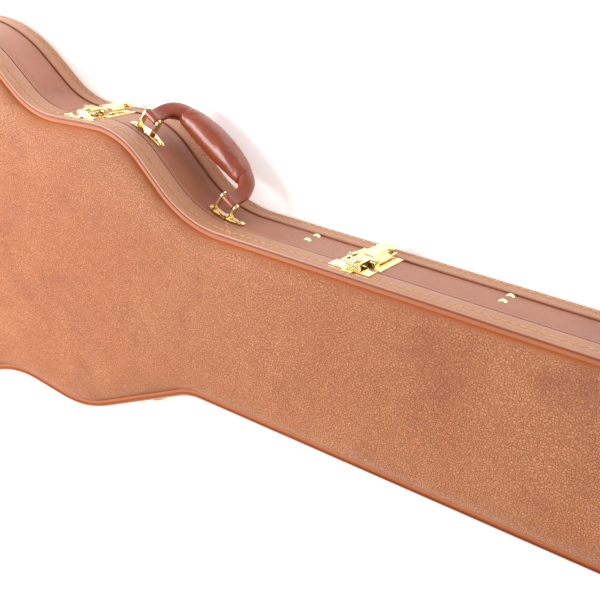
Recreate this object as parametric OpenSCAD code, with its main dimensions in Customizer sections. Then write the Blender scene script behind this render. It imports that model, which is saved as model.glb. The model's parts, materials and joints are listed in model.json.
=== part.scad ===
// Hard-shell guitar case with a hinged lid, draw latches and a padded handle.
// The case lies on its back with the lid up.
// Millimetres. +X runs to the headstock end, +Y to the handle side, +Z out of the lid.
// The origin is on the back face, on the centre line of the neck.

/* [Case outline] */
// Half the width of the neck section, outside
neck_half = 95; // [90:1:100]
// Distance from the origin to the headstock end
head_end = 530; // [500:5:560]
// Distance from the origin to the butt end
butt_end = 606; // [600:1:612]
// Corner radius of the headstock end
head_corner_r = 34; // [32:1:44]

/* [Case height] */
// Height of the side from the back face to the edge of the lid
side_h = 100; // [98:1:104]
// Height of the joint between base and lid
parting_z = 71.4; // [70:0.2:73]
// Gap left at that joint
parting_gap = 0.4; // [0.3:0.1:0.6]
// Rise of the arched lid above its edge
dome_rise = 13; // [9:1:15]
// Height of the stitched band at the back edge
back_band_h = 25; // [22:1:27]

/* [Walls] */
// Depth that the plain wall lies behind the stitched bands
recess = 1.8; // [1.5:0.1:2]
// Thickness of the covering material
cover_t = 1; // [0.8:0.1:1.2]
// Distance from the outside of the bands to the inside of the plywood
wall_depth = 8; // [7.5:0.5:9]
// Thickness of the back panel
panel_t = 6; // [5:0.5:7]
// Thickness of the arched lid panel
lid_panel_t = 5; // [4:0.5:5.5]

/* [Inside] */
// Height of the foam bed
foam_top = 62; // [58:1:64]
// Width of the foam round the body
body_pad = 28; // [24:1:32]
// Width of the channel for the neck
neck_channel = 74; // [66:2:80]
// Start of the accessory compartment
compartment_x0 = 61; // [60:1:66]
// End of the accessory compartment
compartment_x1 = 275; // [265:1:278]
// Top of the compartment's partitions
partition_top = 50; // [48:1:52]
// Thickness of the partitions
partition_t = 5; // [4:0.5:6]

/* [Latches] */
// Width of the latch plate and keeper
latch_w = 44; // [42:1:46]
// Diameter of the lever's pivot pins
lever_pin_d = 3; // [2.8:0.1:3.2]
// Running clearance round a pin, on the radius
pin_clear = 0.06; // [0.04:0.01:0.1]

/* [Handle] */
// Height of the handle's pins above the back face
handle_z = 59.5; // [58:0.5:62]
// Distance of the handle's pins from the outside of the bands
handle_off = 17; // [15:0.5:18]
// Diameter of the grip at its middle
grip_d = 30; // [28:1:31]
// Diameter of the grip at its end seams
grip_end_d = 21; // [19:1:23]
// Length of the grip between its end seams
grip_l = 96; // [92:1:97]
// Distance from the pins to the middle of the grip
grip_rise = 34.5; // [33:0.5:36]
// Angle that the handle leans towards the back
handle_lean = 70; // [60:1:72]

/* [Hidden] */
// One step of an arc, degrees
arc_step = 8;
// A hair that keeps touching cuts apart
eps = 0.01;

// Each corner is [x, y, radius], counter-clockwise from the headstock end.
corners = [
    [head_end, neck_half, head_corner_r],
    [-48, neck_half, 120],
    [-141, 172, 96],
    [-269, 164, 96],
    [-389, 247, 170],
    [-572, 211, 105],
    [-butt_end, 8, 600],
    [-580, -197, 105],
    [-425, -228, 150],
    [-317, -161, 130],
    [-190, -174, 130],
    [-34, -neck_half, 66],
    [head_end, -neck_half, head_corner_r]
];
lower_bout_corner = 8;
head_end_corner = 12;

colour_cover = "#c9835c";
colour_band = "#d9a074";
colour_trim = "#e0b298";
colour_wood = "#d8b98a";
colour_plush = "#7a2335";
colour_foam = "#3a3436";
colour_gold = "#e6cf86";
colour_leather = "#a9553a";

// ---- Outline ----
function unit(v) = v / norm(v);
function wrap_angle(a) = a > 180 ? a - 360 : a < -180 ? a + 360 : a;
function corner(i) = corners[(i + len(corners)) % len(corners)];
function xy(v) = [v[0], v[1]];
function to_prev(i) = unit(xy(corner(i - 1)) - xy(corner(i)));
function to_next(i) = unit(xy(corner(i + 1)) - xy(corner(i)));
// Half the angle between the two sides that meet at a corner
function half_angle(i) = acos(to_prev(i) * to_next(i)) / 2;
function arc_centre(i) = xy(corner(i)) + unit(to_prev(i) + to_next(i)) * corner(i)[2] / sin(half_angle(i));
// +1 where the case bulges, -1 where it has a waist
function bulge(i) = cross(to_next(i), to_prev(i)) > 0 ? 1 : -1;
function arc_start(i) = xy(corner(i)) + to_prev(i) * corner(i)[2] / tan(half_angle(i));
function arc_end(i) = xy(corner(i)) + to_next(i) * corner(i)[2] / tan(half_angle(i));
function direction(v) = atan2(v[1], v[0]);
function corner_arc(i, d) =
    let (c = arc_centre(i),
         a0 = direction(arc_start(i) - c),
         sweep = wrap_angle(direction(arc_end(i) - c) - a0),
         steps = ceil(abs(sweep) / arc_step),
         r = corner(i)[2] + bulge(i) * d)
    [for (k = [0 : steps]) c + r * [cos(a0 + sweep * k / steps), sin(a0 + sweep * k / steps)]];
// The case outline, moved outwards by d
function outline(d) = [for (i = [0 : len(corners) - 1]) each corner_arc(i, d)];

module slab(d, z0, z1) {
    translate([0, 0, z0]) linear_extrude(z1 - z0) polygon(outline(d));
}
module ring(outer, inner, z0, z1) {
    translate([0, 0, z0]) linear_extrude(z1 - z0) difference() {
        polygon(outline(outer));
        polygon(outline(inner));
    }
}
// Keeps the part of a flat shape between two distances along the case
module between_x(x0, x1) {
    intersection() {
        children();
        translate([x0, -300]) square([x1 - x0, 600]);
    }
}
// A frame on the outside of the case: x along the wall, y outwards, z up
module on_wall(place) {
    translate([place[0], place[1], 0]) rotate([0, 0, place[2]]) children();
}
// A cylinder along x, y or z
module rod_x(r, x0, x1) {
    translate([x0, 0, 0]) rotate([0, 90, 0]) cylinder(r = r, h = x1 - x0, $fn = 32);
}
module rod_y(r, y0, y1) {
    translate([0, y0, 0]) rotate([-90, 0, 0]) cylinder(r = r, h = y1 - y0, $fn = 32);
}
// A side profile of [y, z] points, extruded along x
module profile_x(points, x0, x1) {
    translate([x0, 0, 0]) rotate([90, 0, 90]) linear_extrude(x1 - x0) polygon(points);
}
// A domed fastener that points outwards, its head on the plane y = 0
module domed_fastener(head_r, head_h, shank_r, shank_l) {
    ball_r = (head_r * head_r + head_h * head_h) / (2 * head_h);
    intersection() {
        translate([0, head_h - ball_r, 0]) sphere(r = ball_r, $fn = 32);
        rod_y(head_r, 0, head_h + 1);
    }
    rod_y(shank_r, -shank_l, eps);
}

// ---- Heights ----
trim_h = 2;
base_rim_z = parting_z - parting_gap / 2;
lid_rim_z = parting_z + parting_gap / 2;
// The back edge is rounded: its corner steps in by this much, in steps of this height.
back_edge = 5;
back_step = 2.2;
lid_band_top = side_h - 2;
bead_out = 0.5;
bead_in = recess + cover_t;

// ---- Places of the fittings, each [x, y, turn] on the outside of the bands ----
function on_line(a, b, x) = a[1] + (b[1] - a[1]) * (x - a[0]) / (b[0] - a[0]);
// The point on the arc of corner i whose outward normal has this direction
function on_arc(i, normal) =
    let (r = corner(i)[2], s = bulge(i))
    arc_centre(i) + s * r * [cos(normal), sin(normal)];
waist_latch_x = -208;
neck_latch_x = 138.5;
slope_latch_x = -93;
bout_latch_x = -480;
latch_places = [
    [waist_latch_x, on_line(corner(2), corner(3), waist_latch_x),
     direction(xy(corner(2)) - xy(corner(3)))],
    [neck_latch_x, neck_half, 0],
    [slope_latch_x, on_line(corner(10), corner(11), slope_latch_x), direction(xy(corner(10)) - xy(corner(11)))],
    [bout_latch_x, on_line(corner(4), corner(5), bout_latch_x),
     direction(xy(corner(4)) - xy(corner(5)))]
];

// ---- Main hinge: the line that touches the lower bout and the headstock end ----
// The whole lid lies on one side of this line, so that nothing of it swings into the base.
hinge_off = 4.2;
hinge_pin_r = 1.6;
knuckle_r = 3.2;
knuckle_l = 8;
knuckles = 5;
lower_c = arc_centre(lower_bout_corner);
head_c = arc_centre(head_end_corner);
lower_r = corner(lower_bout_corner)[2];
hinge_turn = direction(head_c - lower_c) + asin((lower_r - head_corner_r) / norm(head_c - lower_c));
hinge_along = [cos(hinge_turn), sin(hinge_turn)];
hinge_normal = [sin(hinge_turn), -cos(hinge_turn)];
// The neck hinge sits this far back from where the line touches the headstock end.
neck_hinge_back = 28;
lower_hinge = lower_c + hinge_normal * lower_r;
neck_hinge = head_c + hinge_normal * head_corner_r - hinge_along * neck_hinge_back;
hinge_places = [for (p = [lower_hinge, neck_hinge]) [p[0], p[1], hinge_turn + 180]];

// ---- Handle ----
handle_pin_r = 2;
strap_w = 16;
handle_pin_l = strap_w + 6;
strap_t = 6;
barrel_r = 4.5;
left_bracket_normal = 68;
right_bracket_normal = 79;
left_bracket = on_arc(2, left_bracket_normal);
right_bracket = on_arc(1, right_bracket_normal);
left_pin = left_bracket + handle_off * [cos(left_bracket_normal), sin(left_bracket_normal)];
right_pin = right_bracket + handle_off * [cos(right_bracket_normal), sin(right_bracket_normal)];
handle_mid = (left_pin + right_pin) / 2;
handle_turn = direction(right_pin - left_pin);
pin_span = norm(right_pin - left_pin);
bracket_l = 49;
bracket_w = 14;
bracket_t = 1.5;
bracket_screw_x = 19;

echo(hinge_places = hinge_places, hinge_turn = hinge_turn);
echo(latch_places = latch_places);
echo(left_pin = left_pin, right_pin = right_pin, handle_turn = handle_turn, pin_span = pin_span);

// ---- Base ----
module back_panel() {
    color(colour_wood) {
        slab(-back_edge, 0, back_step);
        slab(-recess - cover_t, back_step, panel_t);
    }
}
module base_side_wall() {
    color(colour_wood) ring(-recess - cover_t, -wall_depth, panel_t, base_rim_z - trim_h);
}
module base_covering() {
    color(colour_cover) ring(-recess, -recess - cover_t, back_band_h, base_rim_z - trim_h);
}
module back_band() {
    color(colour_band) {
        ring(-back_edge / 4, -recess - cover_t, back_step, 2 * back_step);
        ring(0, -recess - cover_t, 2 * back_step, back_band_h);
    }
}
module base_rim_trim() {
    color(colour_trim) ring(bead_out, -wall_depth, base_rim_z - trim_h, base_rim_z);
}
// The lip stands inside the joint and keeps dust out.
lip_t = 1.8;
lip_gap = 0.4;
lip_rise = 5.5;
module dust_lip() {
    color(colour_plush) ring(-wall_depth, -wall_depth - lip_gap - lip_t, foam_top, base_rim_z - trim_h - eps);
    color(colour_plush) ring(-wall_depth - lip_gap, -wall_depth - lip_gap - lip_t,
                             base_rim_z - trim_h - 1, parting_z + lip_rise);
}

// ---- Inside of the base ----
body_foam_x1 = compartment_x0 - 1;
shoulder_x = -62;
cradle_l = 26;
cradle_x0 = compartment_x0 - cradle_l - 2;
head_wall_x = compartment_x1 + 20;
module body_space() {
    between_x(-butt_end, shoulder_x) polygon(outline(-body_pad));
    translate([shoulder_x - 1, -neck_channel / 2]) square([cradle_x0 - 1 - shoulder_x, neck_channel]);
}
module head_space() {
    between_x(head_wall_x, head_end) polygon(outline(-body_pad + 6));
}
module body_foam() {
    color(colour_foam) translate([0, 0, panel_t]) linear_extrude(foam_top - panel_t) difference() {
        between_x(-butt_end, cradle_x0 - 1) polygon(outline(-wall_depth));
        body_space();
    }
}
module head_foam() {
    color(colour_foam) translate([0, 0, panel_t]) linear_extrude(foam_top - panel_t) difference() {
        between_x(compartment_x1, head_end) polygon(outline(-wall_depth));
        head_space();
    }
}
plush_t = 3;
module plush_floor() {
    color(colour_plush) translate([0, 0, panel_t]) linear_extrude(plush_t) {
        body_space();
        head_space();
        translate([compartment_x0 + partition_t, -neck_half + wall_depth])
            square([compartment_x1 - compartment_x0 - 2 * partition_t, 2 * (neck_half - wall_depth)]);
    }
}
cradle_top = 74;
cradle_groove_r = 26;
cradle_groove_z = 80;
module neck_cradle() {
    color(colour_plush) difference() {
        translate([cradle_x0, -neck_half + wall_depth + lip_t + 1, panel_t])
            cube([cradle_l, 2 * (neck_half - wall_depth - lip_t - 1), cradle_top - panel_t]);
        translate([0, 0, cradle_groove_z]) rod_x(cradle_groove_r, cradle_x0 - 1, cradle_x0 + cradle_l + 1);
    }
}
module partition(x0) {
    color(colour_wood) translate([x0, -neck_half + wall_depth, panel_t])
        cube([partition_t, 2 * (neck_half - wall_depth), partition_top - panel_t]);
}
module body_partition() {
    partition(compartment_x0);
}
module head_partition() {
    partition(compartment_x1 - partition_t);
}
partition_rivet_r = 4.4;
// The lower rivets stand just clear of the back band
partition_rivet_z = [back_band_h + partition_rivet_r + 0.6, 46.5];
partition_rivet_h = 2.4;
module partition_rivets() {
    color(colour_gold)
        for (x = [compartment_x0 + partition_t / 2, compartment_x1 - partition_t / 2])
            for (z = partition_rivet_z)
                for (side = [0, 180])
                    translate([x, 0, z]) rotate([0, 0, side])
                        translate([0, neck_half - recess, 0])
                            domed_fastener(partition_rivet_r, partition_rivet_h, 1.2, 16);
}

// ---- Accessory compartment lid ----
compartment_lid_t = 5;
compartment_gap = 3.5;
compartment_lid_y = neck_half - wall_depth - compartment_gap;
module compartment_lid() {
    color(colour_plush) translate([compartment_x0 + 1, -compartment_lid_y, partition_top + 0.5])
        cube([compartment_x1 - compartment_x0 - 2, 2 * compartment_lid_y, compartment_lid_t]);
}
tab_w = 20;
tab_l = 26;
tab_t = 1.6;
module compartment_pull_tab() {
    color(colour_plush) translate([(compartment_x0 + compartment_x1) / 2 - tab_w / 2,
                                   compartment_lid_y - tab_l - 4,
                                   partition_top + 0.5 + compartment_lid_t])
        cube([tab_w, tab_l, tab_t]);
}

// ---- Lid ----
module lid_side_wall() {
    color(colour_wood) ring(-recess - cover_t, -wall_depth, lid_rim_z + trim_h, side_h - lid_panel_t - 1);
}
module lid_band() {
    color(colour_band) ring(0, -recess - cover_t, lid_rim_z + trim_h, lid_band_top);
}
module lid_rim_trim() {
    color(colour_trim) ring(bead_out, -wall_depth, lid_rim_z, lid_rim_z + trim_h);
}
module lid_edge_bead() {
    color(colour_trim) ring(bead_out, -bead_in, lid_band_top, side_h);
}
// Arched panel: rings at [distance in from the outline, height above the edge of the lid],
// then rings drawn in towards the centre line by a share of their width.
shoulder = [[bead_in, -1], [9, -1], [11, 0.18 * dome_rise], [14, 0.42 * dome_rise],
            [18, 0.62 * dome_rise], [23, 0.76 * dome_rise], [30, 0.86 * dome_rise]];
crown = [[0.35, 0.95 * dome_rise], [0.75, dome_rise]];
spine_x = [-440, 470];
function spine(p) = [max(spine_x[0], min(spine_x[1], p[0])), 0];
function dome_ring(k) = k < len(shoulder)
    ? [for (p = outline(-shoulder[k][0])) [p[0], p[1], side_h + shoulder[k][1]]]
    : let (c = crown[k - len(shoulder)])
      [for (p = outline(-shoulder[len(shoulder) - 1][0]))
          let (q = p + (spine(p) - p) * c[0]) [q[0], q[1], side_h + c[1]]];
module lid_top_panel() {
    rings = len(shoulder) + len(crown);
    n = len(outline(0));
    top = [for (k = [0 : rings - 1]) each dome_ring(k)];
    bottom = [for (p = top) p - [0, 0, lid_panel_t]];
    under = len(top);
    color(colour_cover) polyhedron(points = concat(top, bottom), faces = concat(
        [for (k = [0 : rings - 2], i = [0 : n - 1]) let (j = (i + 1) % n)
            [k * n + i, (k + 1) * n + i, (k + 1) * n + j, k * n + j]],
        [for (k = [0 : rings - 2], i = [0 : n - 1]) let (j = (i + 1) % n)
            [under + k * n + j, under + (k + 1) * n + j, under + (k + 1) * n + i, under + k * n + i]],
        [for (i = [0 : n - 1]) let (j = (i + 1) % n) [i, j, under + j, under + i]],
        [[for (i = [n - 1 : -1 : 0]) (rings - 1) * n + i]],
        [[for (i = [0 : n - 1]) under + (rings - 1) * n + i]]));
}
lid_foam_z = 84;
module lid_foam() {
    color(colour_foam) slab(-wall_depth, lid_foam_z, side_h - lid_panel_t - 1);
}
module lid_lining() {
    color(colour_plush) slab(-wall_depth - lip_t - 2, lid_foam_z - 2, lid_foam_z);
}

// ---- Main hinge leaves ----
leaf_w = knuckles * knuckle_l;
leaf_t = 1.4;
leaf_h = 16;
leaf_screw_x = 13;
function knuckle_x(k) = -leaf_w / 2 + k * knuckle_l;
// Side profile of a leaf that rises from the knuckle; up is +1 for the lid, -1 for the base
function leaf_profile(up, back) = [
    [back, parting_z + up * 4], [back, parting_z + up * (4 + leaf_h)],
    [back + leaf_t, parting_z + up * (4 + leaf_h)], [back + leaf_t, parting_z + up * 5.5],
    [hinge_off + 1, parting_z + up * 2.2], [hinge_off - 1.4, parting_z + up * 1.8]
];
module hinge_leaf(i, up, back, first) {
    color(colour_gold) on_wall(hinge_places[i]) difference() {
        union() {
            for (k = [first : 2 : knuckles - 1]) {
                x = knuckle_x(k) + 0.15;
                translate([0, hinge_off, parting_z]) rod_x(knuckle_r, x, x + knuckle_l - 0.3);
                profile_x(leaf_profile(up, back), x, x + knuckle_l - 0.3);
            }
            translate([-leaf_w / 2, back, parting_z + (up > 0 ? 5.5 : -4 - leaf_h)])
                cube([leaf_w, leaf_t, leaf_h - 1.5]);
        }
        translate([0, hinge_off, parting_z])
            rod_x(up > 0 ? hinge_pin_r + pin_clear : hinge_pin_r, -leaf_w, leaf_w);
        // the leaf is cleared where the other leaf's knuckles turn
        for (k = [1 - first : 2 : knuckles - 1])
            translate([0, hinge_off, parting_z])
                rod_x(knuckle_r + 0.4, knuckle_x(k) - 0.15, knuckle_x(k) + knuckle_l + 0.15);
        for (x = [-leaf_screw_x, leaf_screw_x])
            translate([x, back - 1, parting_z + up * 14]) rod_y(1.7, 0, leaf_t + 2);
    }
}
module hinge_pin(i) {
    color(colour_gold) on_wall(hinge_places[i]) translate([0, hinge_off, parting_z])
        rod_x(hinge_pin_r, -leaf_w / 2 - 0.5, leaf_w / 2 + 0.5);
}
module hinge_rivets(up, back) {
    color(colour_gold) for (place = hinge_places) on_wall(place)
        for (x = [-leaf_screw_x, leaf_screw_x])
            translate([x, back + leaf_t, parting_z + up * 14]) domed_fastener(2.6, 1.2, 1.4, 7);
}
// The base leaf lies on the plain wall, the lid leaf on the band.
base_leaf_back = -recess;
lid_leaf_back = 0;
// The neck hinge stands at a slant to the wall, so a wedge lies behind each of its leaves.
module hinge_packing(up, back) {
    color(colour_trim) difference() {
        on_wall(hinge_places[1]) translate([-leaf_w / 2, back - 10, parting_z + (up > 0 ? 5.5 : -4 - leaf_h)])
            difference() {
                cube([leaf_w, 10, leaf_h - 1.5]);
                for (x = [-leaf_screw_x, leaf_screw_x])
                    translate([leaf_w / 2 + x, 0, up > 0 ? 8.5 : 6]) rod_y(1.7, -1, 12);
            }
        slab(back, 0, side_h);
    }
}

// ---- Latches ----
lever_pin_r = lever_pin_d / 2;
lever_pivot = [4.5, 65];
hook_pivot = [4, 58];
hook_pin_r = 1.3;
ear_x = [13.2, 15.2];
arm_x = [9.2, 12.8];
plate_t = 1.5;
plate_z = [back_band_h + 0.6, base_rim_z - trim_h - 0.4];
latch_rivet_x = 17.5;
latch_rivet_z = [30, 51];
module mirror_x() {
    children();
    mirror([1, 0, 0]) children();
}
module latch_plate(i) {
    color(colour_gold) on_wall(latch_places[i]) difference() {
        union() {
            translate([-latch_w / 2, -recess, plate_z[0]])
                cube([latch_w, plate_t, plate_z[1] - plate_z[0]]);
            mirror_x() {
                translate([0, lever_pivot[0], lever_pivot[1]]) rod_x(3.2, ear_x[0], ear_x[1]);
                translate([ear_x[0], -recess + eps, lever_pivot[1] - 5])
                    cube([ear_x[1] - ear_x[0], lever_pivot[0] + recess, 8.2]);
            }
        }
        translate([0, lever_pivot[0], lever_pivot[1]]) rod_x(lever_pin_r, -latch_w, latch_w);
        mirror_x() for (z = latch_rivet_z) translate([latch_rivet_x, 0, z]) rod_y(1.7, -5, 3);
    }
}
module lever_pins() {
    color(colour_gold) for (place = latch_places) on_wall(place) mirror_x()
        translate([0, lever_pivot[0], lever_pivot[1]]) {
            rod_x(lever_pin_r, arm_x[0], ear_x[1]);
            rod_x(lever_pin_r + 0.7, ear_x[1], ear_x[1] + 0.6);
        }
}
module latch_rivets() {
    color(colour_gold) for (place = latch_places) on_wall(place) mirror_x()
        for (z = latch_rivet_z)
            translate([latch_rivet_x, -recess + plate_t, z]) domed_fastener(2.2, 0.7, 1.4, 7);
}
// Cross-section of the pressed lever: two shoulders and a raised plateau between them
lever_t = 1.3;
lever_half = [13, 6.5, 5.5];
shoulder_y = 3.4;
plateau_y = 6.8;
lever_foot = 0.9;
lever_skin = [
    [-lever_half[0], lever_foot], [-lever_half[0], shoulder_y], [-lever_half[1], shoulder_y + 0.4],
    [-lever_half[2], plateau_y], [lever_half[2], plateau_y], [lever_half[1], shoulder_y + 0.4],
    [lever_half[0], shoulder_y], [lever_half[0], lever_foot]
];
function inside(p) = [p[0] - sign(p[0]) * (p[1] > shoulder_y + 1 ? 1 : lever_t),
                      p[1] > lever_foot ? p[1] - lever_t : p[1]];
lever_inner = [for (k = [len(lever_skin) - 1 : -1 : 0]) inside(lever_skin[k])];
lever_z = [23, 55.2];
shoulder_hole = [10, 28.5];
lift_tab = [[5.5, 26], [plateau_y, 26], [5.4, 21], [5.3, 18], [7.3, 14.6], [6.5, 13.8], [4.1, 17.4],
            [4.1, 21.4]];
arm_profile = [[1.6, 56], [1.6, 65], [7.3, 65], [7.3, 58], [3.4, 50], [2.2, 50]];
module latch_lever(i) {
    color(colour_gold) on_wall(latch_places[i]) difference() {
        union() {
            translate([0, 0, lever_z[0]]) linear_extrude(lever_z[1] - lever_z[0])
                polygon(concat(lever_skin, lever_inner));
            profile_x(lift_tab, -9, 9);
            mirror_x() {
                profile_x(arm_profile, arm_x[0], arm_x[1]);
                translate([0, lever_pivot[0], lever_pivot[1]]) rod_x(3.1, arm_x[0], arm_x[1]);
            }
        }
        translate([0, lever_pivot[0], lever_pivot[1]]) rod_x(lever_pin_r + pin_clear, -16, 16);
        translate([0, hook_pivot[0], hook_pivot[1]]) rod_x(hook_pin_r + pin_clear, -16, 16);
        mirror_x() translate([shoulder_hole[0], 0, shoulder_hole[1]]) rod_y(1.2, 1, 10);
    }
}
hook_w = 15;
claw_z = 84.4;
claw_t = 1.6;
// The claw's tip stays clear of the keeper's plate as the lid swings up on its hinges
claw_y = 3.4;
hook_y = [4.8, 6.4];
hook_profile = [[hook_y[0], hook_pivot[1] - 0.8], [hook_y[0], claw_z - claw_t], [claw_y, claw_z - claw_t],
                [claw_y, claw_z], [hook_y[1] - 0.8, claw_z], [hook_y[1], claw_z - 0.8],
                [hook_y[1], hook_pivot[1]], [5.6, hook_pivot[1] - 0.8]];
boss_z = 75;
module latch_hook(i) {
    color(colour_gold) on_wall(latch_places[i]) difference() {
        union() {
            profile_x(hook_profile, -hook_w / 2, hook_w / 2);
            translate([0, hook_pivot[0], hook_pivot[1]]) {
                rod_x(2.2, -hook_w / 2, hook_w / 2);
                rod_x(hook_pin_r, -arm_x[1], arm_x[1]);
            }
            translate([0, 0, boss_z]) rod_y(4.6, hook_y[1] - eps, hook_y[1] + 1.6);
        }
        translate([0, 0, boss_z]) rod_y(1.8, 4, 12);
    }
}
keeper_z = [lid_rim_z + trim_h + 0.8, 90];
ledge_z = [78.4, claw_z - claw_t - 0.2];
keeper_t = 1.4;
tongue_w = 11;
tongue_l = 5;
keeper_rivet_z = 86.5;
module latch_keeper(i) {
    color(colour_gold) on_wall(latch_places[i]) difference() {
        union() {
            translate([-latch_w / 2, 0, keeper_z[0]]) cube([latch_w, keeper_t, keeper_z[1] - keeper_z[0]]);
            translate([-tongue_w / 2, 0, keeper_z[1] - 1]) cube([tongue_w, keeper_t, tongue_l + 1]);
            translate([-hook_w / 2 + 1, 0, ledge_z[0]])
                cube([hook_w - 2, hook_y[0] - 0.4, ledge_z[1] - ledge_z[0]]);
        }
        mirror_x() translate([latch_rivet_x - 2, 0, keeper_rivet_z]) rod_y(1.7, -1, 3);
    }
}
module keeper_rivets() {
    color(colour_gold) for (place = latch_places) on_wall(place) mirror_x()
        translate([latch_rivet_x - 2, keeper_t, keeper_rivet_z]) domed_fastener(2.6, 1, 1.4, 7);
}

// ---- Handle brackets ----
// A boat-shaped plate that follows the wall, with two ears in line with the handle's pins
module bracket_outline() {
    intersection() {
        translate([-bracket_l / 2, -bracket_w / 2]) square([bracket_l, bracket_w]);
        union() {
            circle(r = bracket_w / 2, $fn = 40);
            polygon([[-bracket_l / 2 + 4, -3.6], [0, -bracket_w / 2], [bracket_l / 2 - 4, -3.6],
                     [bracket_l / 2 - 4, 3.6], [0, bracket_w / 2], [-bracket_l / 2 + 4, 3.6]]);
            for (x = [-bracket_screw_x, bracket_screw_x]) translate([x, 0]) circle(r = 4.6, $fn = 32);
        }
    }
}
// How far a bracket's ears reach in from the pin, before the wall cuts them off
ear_l = 26;
// Keeps what lies outside the case's wall at corner i
module outside_wall(i, c, wall_r) {
    if (bulge(i) > 0)
        difference() {
            children();
            translate([c[0], c[1], handle_z - 20]) cylinder(r = wall_r, h = 40, $fn = 96);
        }
    else
        intersection() {
            children();
            translate([c[0], c[1], handle_z - 20]) cylinder(r = wall_r, h = 40, $fn = 96);
        }
}
// In a waist the wall's flat steps stand out from the true arc by this much.
function step_rise(i) = bulge(i) > 0 ? 0 : corner(i)[2] * (1 - cos(arc_step / 2)) + 0.05;
module handle_bracket(i, normal, pin) {
    c = arc_centre(i);
    wall_r = corner(i)[2] - bulge(i) * recess - step_rise(i);
    r0 = bulge(i) > 0 ? wall_r : wall_r - bracket_t;
    color(colour_gold) difference() {
        union() {
            intersection() {
                translate([c[0], c[1], handle_z - bracket_w]) difference() {
                    cylinder(r = r0 + bracket_t, h = 2 * bracket_w, $fn = 96);
                    translate([0, 0, -1]) cylinder(r = r0, h = 2 * bracket_w + 2, $fn = 96);
                }
                translate([pin[0], pin[1], handle_z]) rotate([0, 0, normal - 90]) rotate([90, 0, 0])
                    linear_extrude(60, center = true) bracket_outline();
            }
            outside_wall(i, c, wall_r)
                translate([pin[0], pin[1], handle_z]) rotate([0, 0, handle_turn]) mirror_x() {
                    rod_x(4.2, strap_w / 2 + 0.6, strap_w / 2 + 2.4);
                    translate([strap_w / 2 + 0.6, -ear_l, -4.2]) cube([1.8, ear_l, 8.4]);
                }
        }
        translate([pin[0], pin[1], handle_z]) rotate([0, 0, handle_turn]) rod_x(handle_pin_r, -40, 40);
        translate([pin[0], pin[1], handle_z]) rotate([0, 0, normal - 90])
            for (x = [-bracket_screw_x, bracket_screw_x]) translate([x, 0, 0]) rod_y(1.8, -30, 0);
    }
}
module handle_pin(pin) {
    color(colour_gold) translate([pin[0], pin[1], handle_z]) rotate([0, 0, handle_turn]) {
        rod_x(handle_pin_r, -handle_pin_l / 2, handle_pin_l / 2);
        mirror_x() rod_x(3, handle_pin_l / 2 - 1.2, handle_pin_l / 2);
    }
}
module bracket_screw_pair(i, normal, pin) {
    c = arc_centre(i);
    away = bulge(i) * (corner(i)[2] - bulge(i) * recess - step_rise(i)) + bracket_t;
    tilt = bulge(i) * asin(bracket_screw_x / corner(i)[2]);
    for (side = [-1, 1])
        translate([c[0], c[1], handle_z]) rotate([0, 0, normal - 90 - side * tilt])
            translate([0, away, 0]) domed_fastener(3.4, 1.6, 1.5, 7);
}
module bracket_screws() {
    color(colour_gold) {
        bracket_screw_pair(2, left_bracket_normal, left_pin);
        bracket_screw_pair(1, right_bracket_normal, right_pin);
    }
}

// ---- Handle ----
// The handle's own frame: x along the pins, y out of the case, z across the handle
module in_handle() {
    translate([handle_mid[0], handle_mid[1], handle_z]) rotate([0, 0, handle_turn])
        rotate([-handle_lean, 0, 0]) children();
}
core_r = 6;
// The grip is a barrel: an arc of this radius, turned about the grip's axis
grip_bulge = (grip_d - grip_end_d) / 2;
grip_arc_r = (grip_l * grip_l / 4 + grip_bulge * grip_bulge) / (2 * grip_bulge);
module handle_grip() {
    color(colour_leather) in_handle() translate([0, grip_rise, 0]) rotate([0, 90, 0])
        rotate_extrude($fn = 64) intersection() {
            translate([grip_d / 2 - grip_arc_r, 0]) circle(r = grip_arc_r, $fn = 360);
            translate([core_r, -grip_l / 2]) square([grip_d, grip_l]);
        }
}
module handle_core() {
    color(colour_wood) in_handle() translate([0, grip_rise, 0]) rod_x(core_r, -grip_l / 2, grip_l / 2);
}
bend_r = 14;
module strap_shape() {
    x0 = pin_span / 2 - strap_w / 2;
    bend = [x0 - bend_r, grip_rise - bend_r - strap_w / 2];
    translate([x0, 0]) square([strap_w, bend[1]]);
    intersection() {
        translate(bend) difference() {
            circle(r = bend_r + strap_w, $fn = 64);
            circle(r = bend_r, $fn = 64);
        }
        translate([grip_l / 2 + 0.2, bend[1] - eps]) square([strap_w * 2, strap_w * 3]);
    }
}
module handle_strap(side) {
    color(colour_leather) in_handle() mirror([side < 0 ? 1 : 0, 0, 0]) difference() {
        union() {
            translate([0, 0, -strap_t / 2]) linear_extrude(strap_t) strap_shape();
            rod_x(barrel_r, pin_span / 2 - strap_w / 2, pin_span / 2 + strap_w / 2);
        }
        rod_x(handle_pin_r + pin_clear, 0, pin_span);
    }
}

back_panel();
base_side_wall();
base_covering();
back_band();
base_rim_trim();
dust_lip();
body_foam();
head_foam();
plush_floor();
neck_cradle();
body_partition();
head_partition();
partition_rivets();
handle_bracket(2, left_bracket_normal, left_pin);  // handle_bracket_1
handle_bracket(1, right_bracket_normal, right_pin);  // handle_bracket_2
handle_pin(left_pin);  // handle_pin_1
handle_pin(right_pin);  // handle_pin_2
bracket_screws();
latch_plate(0);  // latch_plate_1
latch_plate(1);  // latch_plate_2
latch_plate(2);  // latch_plate_3
latch_plate(3);  // latch_plate_4
lever_pins();
latch_rivets();
hinge_leaf(0, -1, base_leaf_back, 0);  // hinge_base_leaf_1
hinge_leaf(1, -1, base_leaf_back, 0);  // hinge_base_leaf_2
hinge_pin(0);  // hinge_pin_1
hinge_pin(1);  // hinge_pin_2
hinge_rivets(-1, base_leaf_back);  // hinge_base_rivets
hinge_packing(-1, base_leaf_back);  // hinge_base_packing
lid_side_wall();
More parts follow.
